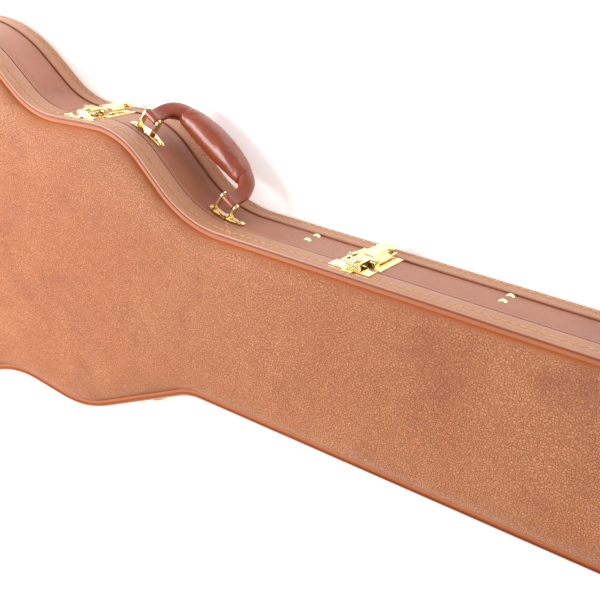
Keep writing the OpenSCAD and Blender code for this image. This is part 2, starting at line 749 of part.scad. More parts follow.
lid_top_panel();
lid_band();
lid_edge_bead();
lid_rim_trim();
lid_foam();
lid_lining();
latch_keeper(0);  // latch_keeper_1
latch_keeper(1);  // latch_keeper_2
latch_keeper(2);  // latch_keeper_3
latch_keeper(3);  // latch_keeper_4
keeper_rivets();
hinge_leaf(0, 1, lid_leaf_back, 1);  // hinge_lid_leaf_1
hinge_leaf(1, 1, lid_leaf_back, 1);  // hinge_lid_leaf_2
hinge_rivets(1, lid_leaf_back);  // hinge_lid_rivets
hinge_packing(1, lid_leaf_back);  // hinge_lid_packing
latch_lever(0);  // latch_lever_1
latch_lever(1);  // latch_lever_2
latch_lever(2);  // latch_lever_3
latch_lever(3);  // latch_lever_4
latch_hook(0);  // latch_hook_1
latch_hook(1);  // latch_hook_2
latch_hook(2);  // latch_hook_3
latch_hook(3);  // latch_hook_4
handle_grip();
handle_core();
handle_strap(-1);  // handle_strap_1
handle_strap(1);  // handle_strap_2
compartment_lid();
compartment_pull_tab();
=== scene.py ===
"""The looks of a hard-shell guitar case, built round its CAD frame.

The case's outline is a closed path of arcs and straight sides. Each cover, band and strip is a
profile of (distance outwards, height) points carried along that path, and each lid or panel is the
outline drawn in ring by ring to the case's spine. Sizes are in millimetres in the frame's axes, and
they become metres where a mesh is made.
"""

from __future__ import annotations

import json
import logging
import math
from collections.abc import Callable, Iterable, Sequence
from dataclasses import dataclass, field
from enum import Enum

import bmesh
import bpy
import numpy as np
from mathutils import Matrix, Vector

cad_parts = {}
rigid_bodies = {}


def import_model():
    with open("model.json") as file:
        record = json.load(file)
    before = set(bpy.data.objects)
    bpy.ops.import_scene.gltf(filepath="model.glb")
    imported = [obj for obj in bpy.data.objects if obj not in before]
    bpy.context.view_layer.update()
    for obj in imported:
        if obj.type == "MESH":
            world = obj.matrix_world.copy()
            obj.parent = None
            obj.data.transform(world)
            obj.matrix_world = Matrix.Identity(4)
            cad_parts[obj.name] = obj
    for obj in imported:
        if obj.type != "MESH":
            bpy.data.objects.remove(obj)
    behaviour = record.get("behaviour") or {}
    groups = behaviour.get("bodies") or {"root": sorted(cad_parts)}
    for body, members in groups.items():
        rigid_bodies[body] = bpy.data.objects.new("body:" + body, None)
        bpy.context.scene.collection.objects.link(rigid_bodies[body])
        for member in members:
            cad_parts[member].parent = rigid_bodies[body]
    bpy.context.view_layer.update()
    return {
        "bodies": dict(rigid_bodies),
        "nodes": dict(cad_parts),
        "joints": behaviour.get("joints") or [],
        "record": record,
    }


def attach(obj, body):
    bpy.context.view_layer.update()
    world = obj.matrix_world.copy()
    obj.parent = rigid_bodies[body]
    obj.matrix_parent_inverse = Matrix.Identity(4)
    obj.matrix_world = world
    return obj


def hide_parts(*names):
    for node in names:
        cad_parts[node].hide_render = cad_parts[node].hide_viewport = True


log = logging.getLogger("guitar_case")

MM = 0.001
SEED = 11
Colour = tuple[float, float, float]
Array = np.ndarray
Piece = bpy.types.Object
Material = bpy.types.Material
Socket = bpy.types.NodeSocket


class Slot(Enum):
    """The record's material slots."""

    GRAINED = "grained_cover"
    BAND = "stitched_band"
    TRIM = "edge_trim"
    LEATHER = "handle_leather"
    GOLD = "gold_hardware"
    PLYWOOD = "plywood"
    FOAM = "foam"
    PLUSH = "plush_lining"


class Body(Enum):
    """The CAD bodies that pieces ride on."""

    BASE = "base"
    LID = "lid"
    HANDLE = "handle"
    COMPARTMENT = "compartment"


# ---------------------------------------------------------------- meshes


def grid_quads(rows: int, columns: int, wrap_rows: bool = False, wrap_columns: bool = False) -> Array:
    """Lists the quads of a grid whose point (r, c) is number r * columns + c.

    Args:
        rows: Points down the grid.
        columns: Points across the grid.
        wrap_rows: Joins the last row to the first.
        wrap_columns: Joins the last column to the first.

    Returns:
        An array of four point numbers a quad, which turn from c towards r.
    """
    r = np.arange(rows if wrap_rows else rows - 1)[:, None]
    c = np.arange(columns if wrap_columns else columns - 1)[None, :]
    r2, c2 = (r + 1) % rows, (c + 1) % columns
    quads = [r * columns + c, r * columns + c2, r2 * columns + c2, r2 * columns + c]
    return np.stack(np.broadcast_arrays(*quads), axis=-1).reshape(-1, 4)


def tube_faces(rows: int, columns: int, flip: bool = False) -> list[list[int]]:
    """Lists the faces of a closed tube: its quads, and a cap on its first and on its last ring.

    Args:
        rows: Rings along the tube.
        columns: Points in a ring.
        flip: Turns every face round.

    Returns:
        The point numbers of each face.
    """
    last = (rows - 1) * columns
    quads = grid_quads(rows, columns, wrap_columns=True).tolist()
    faces = [*quads, list(range(columns))[::-1], list(range(last, last + columns))]
    return [face[::-1] for face in faces] if flip else faces


def mesh_object(
    name: str,
    points: Array,
    faces: Iterable[Sequence[int]],
    sharp_deg: float = 50.0,
    attributes: dict[str, Array] | None = None,
) -> Piece:
    """Makes a mesh object from points in millimetres.

    Args:
        name: The piece's name.
        points: Points, three numbers each.
        faces: Point numbers of each face, turning so that the face looks outwards.
        sharp_deg: Edges that turn more than this many degrees shade as sharp.
        attributes: Numbers for each point, by the name that materials read.

    Returns:
        The new object, linked to the scene.
    """
    mesh = bpy.data.meshes.new(name)
    mesh.from_pydata((points.reshape(-1, 3) * MM).tolist(), [], [list(map(int, f)) for f in faces])
    mesh.validate()
    for key, values in (attributes or {}).items():
        layer = mesh.attributes.new(key, "FLOAT", "POINT")
        layer.data.foreach_set("value", values.astype(np.float32).ravel())
    mesh.shade_smooth()
    mesh.set_sharp_from_angle(angle=math.radians(sharp_deg))
    piece = bpy.data.objects.new(name, mesh)
    bpy.context.scene.collection.objects.link(piece)
    return piece


def rounded(points: Sequence[tuple[float, float, float]], steps: int = 4) -> Array:
    """Rounds the corners of a closed flat outline.

    A corner of size r becomes the curve that leaves one side r before the corner, is drawn towards
    the corner, and meets the other side r after it.

    Args:
        points: Corners as (x, y, r), with r 0 for a sharp one.
        steps: Pieces in each rounded corner.

    Returns:
        The outline's points.
    """
    corners = np.array([p[:2] for p in points], float)
    sizes = np.array([p[2] for p in points], float)
    before = np.roll(corners, 1, axis=0) - corners
    after = np.roll(corners, -1, axis=0) - corners
    before /= np.linalg.norm(before, axis=1, keepdims=True)
    after /= np.linalg.norm(after, axis=1, keepdims=True)
    t = np.linspace(0, 1, steps + 1)[:, None]
    curves = [
        (1 - t) ** 2 * (c + b * r) + 2 * t * (1 - t) * c + t**2 * (c + a * r) if r > 0 else c[None, :]
        for c, b, a, r in zip(corners, before, after, sizes)
    ]
    return np.concatenate(curves)


def near(values: Array, place: float, reach: float) -> Array:
    """One at a place, falling in a straight line to zero at a reach from it."""
    return np.clip(1 - np.abs(values - place) / reach, 0, 1)


def ripple(x: Array, y: Array, wavelength: float, seed: int = SEED) -> Array:
    """A calm unevenness from -1 to 1: the mean of six sine waves in seeded directions.

    Args:
        x: First coordinate, in millimetres.
        y: Second coordinate.
        wavelength: The mean length of a wave.
        seed: Picks the directions and the phases.

    Returns:
        The height at each point, for an amplitude of 1.
    """
    draw = np.random.default_rng(seed)
    turns = draw.uniform(0, math.tau, 6)
    lengths = wavelength * draw.uniform(0.6, 1.6, 6)
    phases = draw.uniform(0, math.tau, 6)
    waves = [
        np.sin(math.tau * (x * math.cos(a) + y * math.sin(a)) / w + p)
        for a, w, p in zip(turns, lengths, phases)
    ]
    return np.mean(waves, axis=0)


def smooth_step(t: Array | float) -> Array | float:
    """Rises from 0 to 1 with no slope at either end."""
    t = np.clip(t, 0, 1)
    return t * t * (3 - 2 * t)


@dataclass
class Outline:
    """The case's outline from above, counter-clockwise from the headstock end.

    Each corner is (x, y, radius). A ring at distance d has every arc about the same centre, which
    is the same as moving each point along the outline's normal by d.
    """

    corners: tuple[tuple[float, float, float], ...] = (
        (530, 95, 34), (-48, 95, 120), (-141, 172, 96), (-269, 164, 96), (-389, 247, 170),
        (-572, 211, 105), (-606, 8, 600), (-580, -197, 105), (-425, -228, 150), (-317, -161, 130),
        (-190, -174, 130), (-34, -95, 66), (530, -95, 34),
    )
    arc_step_deg: float = 2.5
    straight_step: float = 9.0
    points: Array = field(init=False)
    normals: Array = field(init=False)
    along: Array = field(init=False)
    centres: Array = field(init=False)
    bulges: Array = field(init=False)

    def __post_init__(self) -> None:
        """Works out the points, the normals that look outwards and the distance along the path."""
        data = np.array(self.corners, float)
        corner, radius = data[:, :2], data[:, 2]
        to_prev = np.roll(corner, 1, axis=0) - corner
        to_next = np.roll(corner, -1, axis=0) - corner
        to_prev /= np.linalg.norm(to_prev, axis=1, keepdims=True)
        to_next /= np.linalg.norm(to_next, axis=1, keepdims=True)
        half = np.arccos(np.sum(to_prev * to_next, axis=1)) / 2
        middle = to_prev + to_next
        middle /= np.linalg.norm(middle, axis=1, keepdims=True)
        self.centres = corner + middle * (radius / np.sin(half))[:, None]
        cross = to_next[:, 0] * to_prev[:, 1] - to_next[:, 1] * to_prev[:, 0]
        self.bulges = np.where(cross > 0, 1.0, -1.0)
        start = corner + to_prev * (radius / np.tan(half))[:, None]
        end = corner + to_next * (radius / np.tan(half))[:, None]
        points, normals = [], []
        for i, centre in enumerate(self.centres):
            a0 = math.atan2(*(start[i] - centre)[::-1])
            sweep = math.atan2(*(end[i] - centre)[::-1]) - a0
            sweep = (sweep + math.pi) % math.tau - math.pi
            steps = max(2, math.ceil(abs(math.degrees(sweep)) / self.arc_step_deg))
            angle = a0 + sweep * np.linspace(0, 1, steps + 1)
            ray = np.stack([np.cos(angle), np.sin(angle)], axis=1)
            points.append(centre + radius[i] * ray)
            normals.append(self.bulges[i] * ray)
            side = start[(i + 1) % len(data)] - end[i]
            count = int(np.linalg.norm(side) // self.straight_step)
            share = np.linspace(0, 1, count + 2)[1:-1, None]
            points.append(end[i] + side * share)
            normals.append(np.repeat(normals[-1][-1:], len(share), axis=0))
        self.points, self.normals = np.concatenate(points), np.concatenate(normals)
        steps = np.linalg.norm(np.roll(self.points, -1, axis=0) - self.points, axis=1)
        self.along = np.concatenate([[0], np.cumsum(steps)])

    @property
    def length(self) -> float:
        """The length of the whole path."""
        return float(self.along[-1])

    def ring(self, distance: float) -> Array:
        """The outline moved outwards by a distance."""
        return self.points + distance * self.normals

    def at(self, along: Array) -> tuple[Array, Array]:
        """The points and normals at distances along the path.

        Args:
            along: Distances along the path.

        Returns:
            The points, and the normals of length 1.
        """
        place = np.mod(along, self.length)
        closed_p = np.vstack([self.points, self.points[:1]])
        closed_n = np.vstack([self.normals, self.normals[:1]])
        points, normals = (
            np.stack([np.interp(place, self.along, values[:, k]) for k in (0, 1)], axis=-1)
            for values in (closed_p, closed_n)
        )
        return points, normals / np.linalg.norm(normals, axis=-1, keepdims=True)

    def on_arc(self, corner: int, normal_deg: float) -> Array:
        """The point on a corner's arc whose normal has a given direction."""
        ray = np.array([math.cos(math.radians(normal_deg)), math.sin(math.radians(normal_deg))])
        return self.centres[corner] + self.bulges[corner] * self.corners[corner][2] * ray


def carry(
    name: str,
    outline: Outline,
    profile: Array,
    wobble: float = 0.0,
    crease: Array | None = None,
    sharp_deg: float = 50.0,
) -> Piece:
    """Carries a closed profile once round the case.

    The point of profile point (d, z) at a place on the outline is that place moved outwards by d,
    at height z. A wobble moves the whole profile in and out as it goes round.

    Args:
        name: The piece's name.
        outline: The path.
        profile: Points (d, z), counter-clockwise with d to the right.
        wobble: How far the profile strays, in millimetres.
        crease: How much painted shade darkens each profile point, 0 to 1.
        sharp_deg: Edges that turn more than this shade as sharp.

    Returns:
        The ring-shaped piece.
    """
    p, n = outline.points, outline.normals
    stray = wobble * ripple(p[:, 0], p[:, 1], 90.0)
    d = profile[:, 0][:, None] + stray[None, :]
    xy = p[None] + d[..., None] * n[None]
    z = np.broadcast_to(profile[:, 1][:, None], d.shape)
    points = np.concatenate([xy, z[..., None]], axis=-1)
    shade = np.zeros(len(profile)) if crease is None else crease
    shade = np.repeat(shade[:, None], len(p), axis=1)
    quads = grid_quads(len(profile), len(p), wrap_rows=True, wrap_columns=True)
    return mesh_object(name, points, quads, sharp_deg, {"crease": shade})


def drawn_in(
    name: str,
    outline: Outline,
    start: float,
    height: Callable[[Array, Array], Array],
    thickness: float,
    looks_up: bool = True,
) -> Piece:
    """Covers the whole case with rings that are drawn in from the outline to its spine.

    The first rings move in along the normals by v. From there each point moves a share c of the
    way to the nearest point of the spine, a straight line along the middle of the case. The height
    is a function of v and c, with a calm unevenness on top.

    Args:
        name: The piece's name.
        outline: The case's outline.
        start: Distance of the first ring inside the outline.
        height: Gives the height from (v, c).
        thickness: How far the closed back lies behind the face.
        looks_up: Whether the face looks up, or down.

    Returns:
        The closed piece.
    """
    margin, rings_in, rings_across = 21.0, 20, 22
    spine_x = (-440.0, 470.0)
    edge = outline.ring(-start - margin)
    spine = np.stack([np.clip(edge[:, 0], *spine_x), np.zeros(len(edge))], axis=1)
    v1 = margin * np.linspace(0, 1, rings_in) ** 1.8
    c2 = 0.985 * np.linspace(0, 1, rings_across + 1)[1:] ** 1.15
    first = outline.points[None] - (start + v1)[:, None, None] * outline.normals[None]
    second = edge[None] + c2[:, None, None] * (spine - edge)[None]
    xy = np.concatenate([first, second])
    reach = np.linalg.norm(spine - edge, axis=1)
    n = len(edge)
    v = np.concatenate([np.repeat(v1[:, None], n, axis=1), margin + c2[:, None] * reach[None]])
    c = np.concatenate([np.zeros((rings_in, n)), np.repeat(c2[:, None], n, axis=1)])
    z = height(v, c)
    away = 1 if looks_up else -1
    z = z + 0.22 * ripple(xy[..., 0], xy[..., 1], 95.0) * smooth_step(v / 25) * away
    face = np.concatenate([xy, z[..., None]], axis=-1)
    foot = face[:1].copy()
    foot[..., 2] -= away * thickness
    points = np.concatenate([foot, face])
    faces = tube_faces(len(points), n, flip=not looks_up)
    edge_in = np.concatenate([v[:1], v])
    bare = 1 - smooth_step((edge_in - 0.5 - 1.5 * ripple(*np.moveaxis(points[..., :2], -1, 0), 22.0)) / 4.5)
    return mesh_object(name, points, faces, attributes={"bare": bare})


def finish_piece(
    piece: Piece,
    body: Body,
    material: Material,
    replaces: Sequence[str] = (),
) -> Piece:
    """Gives a piece its material, its body and the CAD nodes that it stands for.

    Args:
        piece: The piece.
        body: The body that it rides on.
        material: Its material.
        replaces: The CAD nodes that it stands for.

    Returns:
        The same piece.
    """
    piece.data.materials.clear()
    piece.data.materials.append(material)
    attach(piece, body.value)
    if replaces:
        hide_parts(*replaces)
    log.info("%s rides on %s", piece.name, body.value)
    return piece


# ---------------------------------------------------------------- shader node groups


class Graph:
    """A node tree, with a short way to add a node and its values."""

    def __init__(self, tree: bpy.types.NodeTree) -> None:
        """Starts from an empty tree."""
        self.tree = tree
        tree.nodes.clear()

    def add(self, kind: str, values: dict | None = None, **settings: object) -> bpy.types.Node:
        """Adds a node.

        Args:
            kind: The node's type.
            values: A number, a colour or another node's output for each named or numbered input.
            settings: The node's own properties.

        Returns:
            The new node.
        """
        node = self.tree.nodes.new(kind)
        for key, value in settings.items():
            setattr(node, key, value)
        for key, value in (values or {}).items():
            if isinstance(value, Socket):
                self.tree.links.new(value, node.inputs[key])
            else:
                node.inputs[key].default_value = value
        return node

    def maths(self, operation: str, *values: object, clamp: bool = False) -> Socket:
        """Adds a Math node and gives its output."""
        node = self.add("ShaderNodeMath", dict(enumerate(values)), operation=operation, use_clamp=clamp)
        return node.outputs[0]

    def times(self, a: object, b: object, clamp: bool = False) -> Socket:
        """The product of two values."""
        return self.maths("MULTIPLY", a, b, clamp=clamp)

    def plus(self, a: object, b: object, clamp: bool = False) -> Socket:
        """The sum of two values."""
        return self.maths("ADD", a, b, clamp=clamp)

    def remap(self, value: Socket, low: float, high: float,
              to_low: float = 0.0, to_high: float = 1.0) -> Socket:
        """Adds a smooth Map Range from low-high to to_low-to_high."""
        settings = {"Value": value, "From Min": low, "From Max": high, "To Min": to_low, "To Max": to_high}
        return self.add("ShaderNodeMapRange", settings, interpolation_type="SMOOTHSTEP").outputs["Result"]

    def mix(self, share: object, a: object, b: object, blend: str = "MIX") -> Socket:
        """Mixes two colours by a share.

        Args:
            share: How much of the second colour there is, 0 to 1.
            a: The first colour, or a socket.
            b: The second colour, or a socket.
            blend: How the two are blended.

        Returns:
            The mixed colour.
        """
        node = self.add("ShaderNodeMix", {0: share}, data_type="RGBA", blend_type=blend)
        for number, value in ((6, a), (7, b)):
            if isinstance(value, Socket):
                self.tree.links.new(value, node.inputs[number])
            else:
                node.inputs[number].default_value = value
        return node.outputs[2]

    def noise(self, vector: object, scale: object, detail: float = 3.0, rough: float = 0.55) -> Socket:
        """Adds a noise texture and gives its value."""
        values = {"Vector": vector, "Scale": scale, "Detail": detail, "Roughness": rough}
        return self.add("ShaderNodeTexNoise", values).outputs["Fac"]


def rgba(colour: Colour) -> tuple[float, float, float, float]:
    """A colour with full cover."""
    return (*colour, 1.0)


def new_group(
    name: str, inputs: dict[str, str], outputs: dict[str, str]
) -> tuple[bpy.types.NodeTree, Graph, bpy.types.NodeOutputs]:
    """Makes an empty node group.

    Args:
        name: The group's name.
        inputs: Socket type of each input.
        outputs: Socket type of each output.

    Returns:
        The group, its graph and the group input's sockets.
    """
    tree = bpy.data.node_groups.new(name, "ShaderNodeTree")
    for key, kind in inputs.items():
        tree.interface.new_socket(name=key, in_out="INPUT", socket_type=kind)
    for key, kind in outputs.items():
        tree.interface.new_socket(name=key, in_out="OUTPUT", socket_type=kind)
    graph = Graph(tree)
    return tree, graph, graph.add("NodeGroupInput").outputs


FLOAT, COLOUR, VECTOR = "NodeSocketFloat", "NodeSocketColor", "NodeSocketVector"


def grain_group() -> bpy.types.NodeTree:
    """Pebbled leather grain: large cells that finer creases divide again, with fine pores.

    The coordinates are bent by noise, so that no cell is straight-sided. The height of a cell
    rises quickly from its crease and is flat on top.

    Returns:
        The node group.
    """
    tree, g, given = new_group(
        "leather_grain",
        {"Vector": VECTOR, "Cells": FLOAT, "Fine": FLOAT},
        {"Height": FLOAT, "Crease": FLOAT},
    )
    bend = g.add("ShaderNodeTexNoise", {"Vector": given["Vector"], "Scale": 260.0, "Detail": 2.0})
    vector_math = "ShaderNodeVectorMath"
    centred = g.add(vector_math, {0: bend.outputs["Color"], 1: (0.5, 0.5, 0.5)}, operation="SUBTRACT")
    small = g.add(vector_math, {0: centred.outputs[0], "Scale": 0.0026}, operation="SCALE")
    bent = g.add(vector_math, {0: given["Vector"], 1: small.outputs[0]}, operation="ADD").outputs[0]
    heights = []
    for share in (1.0, 2.1):
        scale = g.times(given["Cells"], share)
        cells = g.add("ShaderNodeTexVoronoi", {"Vector": bent, "Scale": scale}, feature="DISTANCE_TO_EDGE")
        heights.append(g.remap(cells.outputs["Distance"], 0.0, 0.16))
    height = g.plus(g.times(heights[0], 0.7), g.times(heights[1], 0.3))
    pores = g.times(g.noise(given["Vector"], 1900.0, 2.0), given["Fine"])
    total = g.plus(height, pores)
    crease = g.maths("SUBTRACT", 1.0, height, clamp=True)
    g.add("NodeGroupOutput", {"Height": total, "Crease": crease})
    return tree


def mottle_group() -> bpy.types.NodeTree:
    """Hand-rubbed colour: a base tone, lighter clouds and dark blotches with soft ragged edges.

    Clouds are low noise, blotches are the product of a low and a middle noise, so that they come
    in patches.

    Returns:
        The node group.
    """
    tree, g, given = new_group(
        "rubbed_colour",
        {"Vector": VECTOR, "Base": COLOUR, "Light": COLOUR, "Dark": COLOUR, "Blotches": FLOAT},
        {"Color": COLOUR, "Blotch": FLOAT},
    )
    clouds = g.remap(g.noise(given["Vector"], 5.0, 4.0, 0.6), 0.36, 0.66)
    where = g.remap(g.noise(given["Vector"], 9.0, 5.0, 0.66), 0.46, 0.70)
    spots = g.remap(g.noise(given["Vector"], 38.0, 5.0, 0.7), 0.40, 0.66)
    blotch = g.times(g.plus(g.times(where, 0.55),
                                         g.times(g.times(where, spots), 0.65)),
                     given["Blotches"], clamp=True)
    toned = g.mix(clouds, given["Base"], given["Light"])
    g.add("NodeGroupOutput", {"Color": g.mix(blotch, toned, given["Dark"]), "Blotch": blotch})
    return tree


def plating_group() -> bpy.types.NodeTree:
    """Polished plating: faint clouds in the tone and hairline marks in the gloss.

    The marks are noise on coordinates that are stretched along one slanting direction.

    Returns:
        The node group.
    """
    tree, g, given = new_group(
        "plating_marks",
        {"Vector": VECTOR, "Base": COLOUR, "Deep": COLOUR, "Gloss": FLOAT},
        {"Color": COLOUR, "Roughness": FLOAT, "Height": FLOAT},
    )
    turned = g.add("ShaderNodeMapping", {"Vector": given["Vector"], "Rotation": (0.4, 0.3, 0.7),
                                         "Scale": (1.0, 22.0, 9.0)})
    hair = g.noise(turned.outputs[0], 160.0, 3.0)
    cloud = g.remap(g.noise(given["Vector"], 70.0, 3.0), 0.40, 0.68)
    rough = g.plus(given["Gloss"], g.times(hair, 0.10))
    rough = g.plus(rough, g.times(cloud, 0.06))
    g.add("NodeGroupOutput", {"Color": g.mix(cloud, given["Base"], given["Deep"]), "Roughness": rough,
                              "Height": g.noise(given["Vector"], 240.0, 2.0)})
    return tree


def pile_group() -> bpy.types.NodeTree:
    """Plush pile: fine fibres, with broad strokes where the pile lies another way.

    Returns:
        The node group.
    """
    tree, g, given = new_group(
        "plush_pile",
        {"Vector": VECTOR, "Base": COLOUR, "Brushed": COLOUR},
        {"Color": COLOUR, "Height": FLOAT},
    )
    fibres = g.noise(given["Vector"], 1500.0, 3.0, 0.7)
    strokes = g.remap(g.noise(given["Vector"], 16.0, 4.0, 0.62), 0.38, 0.66)
    tone = g.plus(g.times(strokes, 0.7), g.times(fibres, 0.5), clamp=True)
    g.add("NodeGroupOutput", {"Color": g.mix(tone, given["Base"], given["Brushed"]), "Height": fibres})
    return tree


def ply_group() -> bpy.types.NodeTree:
    """Plywood: grain along the case and plies as thin layers in height.

    Returns:
        The node group.
    """
    tree, g, given = new_group(
        "plywood_plies",
        {"Vector": VECTOR, "Light": COLOUR, "Dark": COLOUR},
        {"Color": COLOUR, "Height": FLOAT},
    )
    long = g.add("ShaderNodeMapping", {"Vector": given["Vector"], "Scale": (6.0, 90.0, 90.0)})
    fibre = g.noise(long.outputs[0], 3.0, 5.0, 0.65)
    layers = g.add("ShaderNodeTexWave", {"Vector": given["Vector"], "Scale": 190.0, "Distortion": 0.6},
                   bands_direction="Z").outputs["Fac"]
    tone = g.plus(g.times(fibre, 0.8), g.times(layers, 0.3), clamp=True)
    g.add("NodeGroupOutput", {"Color": g.mix(tone, given["Light"], given["Dark"]), "Height": fibre})
    return tree


class GroupBook:
    """Builds each node group once, when a finish first asks for it."""

    makers: dict[str, Callable[[], bpy.types.NodeTree]] = {
        "leather_grain": grain_group,
        "rubbed_colour": mottle_group,
        "plating_marks": plating_group,
        "plush_pile": pile_group,
        "plywood_plies": ply_group,
    }

    @classmethod
    def place(cls, graph: Graph, name: str, values: dict) -> bpy.types.Node:
        """Puts a group into a material with its own values."""
        tree = bpy.data.node_groups.get(name) or cls.makers[name]()
        return graph.add("ShaderNodeGroup", values, node_tree=tree)


# ---------------------------------------------------------------- finishes


def start_material(name: str) -> tuple[Material, Graph, Socket]:
    """A new material, its empty graph and the object's own coordinates.

    Args:
        name: The material's name.

    Returns:
        The material, its graph and the coordinates.
    """
    material = bpy.data.materials.new(name)
    material.use_nodes = True
    graph = Graph(material.node_tree)
    return material, graph, graph.add("ShaderNodeTexCoord").outputs["Object"]


def end_material(graph: Graph, shader: dict, height: Socket, depth: float, strength: float) -> None:
    """Adds the bump, the Principled shader and the output.

    Args:
        graph: The material's graph.
        shader: Values for the shader's inputs.
        height: The bump's height, from 0 to about 1.
        depth: What a height of 1 is, in metres.
        strength: How strongly the bump shows.
    """
    bump = graph.add("ShaderNodeBump", {"Strength": strength, "Distance": depth, "Height": height})
    principled = graph.add("ShaderNodeBsdfPrincipled", {**shader, "Normal": bump.outputs["Normal"]})
    graph.add("ShaderNodeOutputMaterial", {"Surface": principled.outputs[0]})


@dataclass(frozen=True)
class Leather:
    """Coated leather or leatherette, rubbed with a darker tone."""

    name: str
    base: Colour
    light: Colour
    dark: Colour
    # The colour that painted shade in creases, grooves and the parting gap darkens towards.
    crease_shade: Colour
    blotches: float
    cells: float
    grain_mm: float
    fine: float
    roughness: float
    coat: float
    grain_shade: float = 0.25
    edge: Colour = (0.47, 0.137, 0.045)

    def material(self) -> Material:
        """Builds the material: rubbed colour, painted shade in the grain's creases and in the creases that
        the crease attribute marks, grain, and a thin top coat.

        Returns:
            The material.
        """
        material, g, where = start_material(self.name)
        colour = GroupBook.place(g, "rubbed_colour", {
            "Vector": where, "Base": rgba(self.base), "Light": rgba(self.light),
            "Dark": rgba(self.dark), "Blotches": self.blotches,
        })
        grain = GroupBook.place(g, "leather_grain", {"Vector": where, "Cells": self.cells, "Fine": self.fine})
        crease = g.add("ShaderNodeAttribute", attribute_name="crease").outputs["Fac"]
        bare = g.add("ShaderNodeAttribute", attribute_name="bare").outputs["Fac"]
        pebbled = g.maths("SUBTRACT", 1.0, bare)
        sunk = g.times(g.times(grain.outputs["Crease"], pebbled), self.grain_shade)
        shaded = g.mix(sunk, colour.outputs["Color"], rgba(self.dark))
        shaded = g.mix(bare, shaded, rgba(self.edge))
        # Painted shade: the crease attribute darkens creases, grooves and gaps towards the shade colour.
        shaded = g.mix(crease, shaded, rgba(self.crease_shade))
        rough = g.plus(self.roughness, g.times(grain.outputs["Crease"], 0.18))
        rough = g.maths("SUBTRACT", rough, g.times(colour.outputs["Blotch"], 0.05))
        end_material(
            g,
            {"Base Color": shaded, "Roughness": rough, "Coat Weight": self.coat, "Coat Roughness": 0.28,
             "Specular IOR Level": 0.38},
            g.times(grain.outputs["Height"], pebbled), self.grain_mm * MM, 1.0,
        )
        return material


@dataclass(frozen=True)
class Plating:
    """Polished gold-coloured plating on pressed steel."""

    name: str
    base: Colour
    deep: Colour
    gloss: float

    def material(self) -> Material:
        """Builds the material: full metal with hairline marks.

        Returns:
            The material.
        """
        material, g, where = start_material(self.name)
        marks = GroupBook.place(g, "plating_marks", {
            "Vector": where, "Base": rgba(self.base), "Deep": rgba(self.deep), "Gloss": self.gloss,
        })
        end_material(
            g,
            {"Base Color": marks.outputs["Color"], "Metallic": 1.0, "Roughness": marks.outputs["Roughness"]},
            marks.outputs["Height"], 0.0001, 0.25,
        )
        return material


@dataclass(frozen=True)
class Plush:
    """Short plush or foam, soft at grazing angles."""

    name: str
    base: Colour
    brushed: Colour
    sheen: float
    pile_mm: float

    def material(self) -> Material:
        """Builds the material: fibre bump under a sheen.

        Returns:
            The material.
        """
        material, g, where = start_material(self.name)
        pile = GroupBook.place(g, "plush_pile", {
            "Vector": where, "Base": rgba(self.base), "Brushed": rgba(self.brushed),
        })
        end_material(
            g,
            {"Base Color": pile.outputs["Color"], "Roughness": 0.92, "Sheen Weight": self.sheen,
             "Sheen Roughness": 0.45, "Sheen Tint": rgba(self.brushed), "Specular IOR Level": 0.2},
            pile.outputs["Height"], self.pile_mm * MM, 0.8,
        )
        return material


@dataclass(frozen=True)
class Plywood:
    """Bare birch plywood."""

    name: str
    light: Colour
    dark: Colour

    def material(self) -> Material:
        """Builds the material: plies, fibres and a dull surface.

        Returns:
            The material.
        """
        material, g, where = start_material(self.name)
        wood = GroupBook.place(g, "plywood_plies", {
            "Vector": where, "Light": rgba(self.light), "Dark": rgba(self.dark),
        })
        shader = {"Base Color": wood.outputs["Color"], "Roughness": 0.62}
        end_material(g, shader, wood.outputs["Height"], 0.0003, 0.5)
        return material


@dataclass(frozen=True)
class Thread:
    """Thick waxed thread with a twist."""

    name: str
    light: Colour
    dark: Colour

    def material(self) -> Material:
        """Builds the material: slanting strands with painted shade between them, under a soft gloss.

        Returns:
            The material.
        """
        material, g, where = start_material(self.name)
        twist = g.add("ShaderNodeTexWave", {"Vector": where, "Scale": 420.0, "Distortion": 1.2},
                      bands_direction="DIAGONAL").outputs["Fac"]
        # The twist's bands paint shade between the strands and light on their tops, beside the bump.
        colour = g.mix(twist, rgba(self.dark), rgba(self.light))
        end_material(g, {"Base Color": colour, "Roughness": 0.5, "Sheen Weight": 0.2}, twist, 0.0002, 0.6)
        return material


# The fourth colour of each leather is the colour that painted shade in creases, grooves and gaps darkens
# towards.
GRAINED = Leather("grained_leatherette", (0.64, 0.235, 0.095), (0.74, 0.31, 0.135), (0.40, 0.12, 0.062),
                  (0.26, 0.055, 0.015), 0.55, 400.0, 0.85, 0.35, 0.42, 0.04, 0.8)
BAND = Leather("smooth_band_leatherette", (0.49, 0.215, 0.112), (0.54, 0.25, 0.138), (0.39, 0.14, 0.07),
               (0.30, 0.075, 0.025), 0.35, 620.0, 0.05, 0.2, 0.34, 0.12)
FIELD = Leather("side_leatherette", (0.41, 0.137, 0.064), (0.47, 0.178, 0.095), (0.29, 0.08, 0.035),
                (0.16, 0.035, 0.012), 0.5, 620.0, 0.06, 0.2, 0.34, 0.14)
BORDER = Leather("border_leatherette", (0.46, 0.13, 0.04), (0.50, 0.15, 0.05), (0.38, 0.10, 0.032),
                 (0.13, 0.025, 0.008), 0.3, 620.0, 0.05, 0.2, 0.48, 0.0)
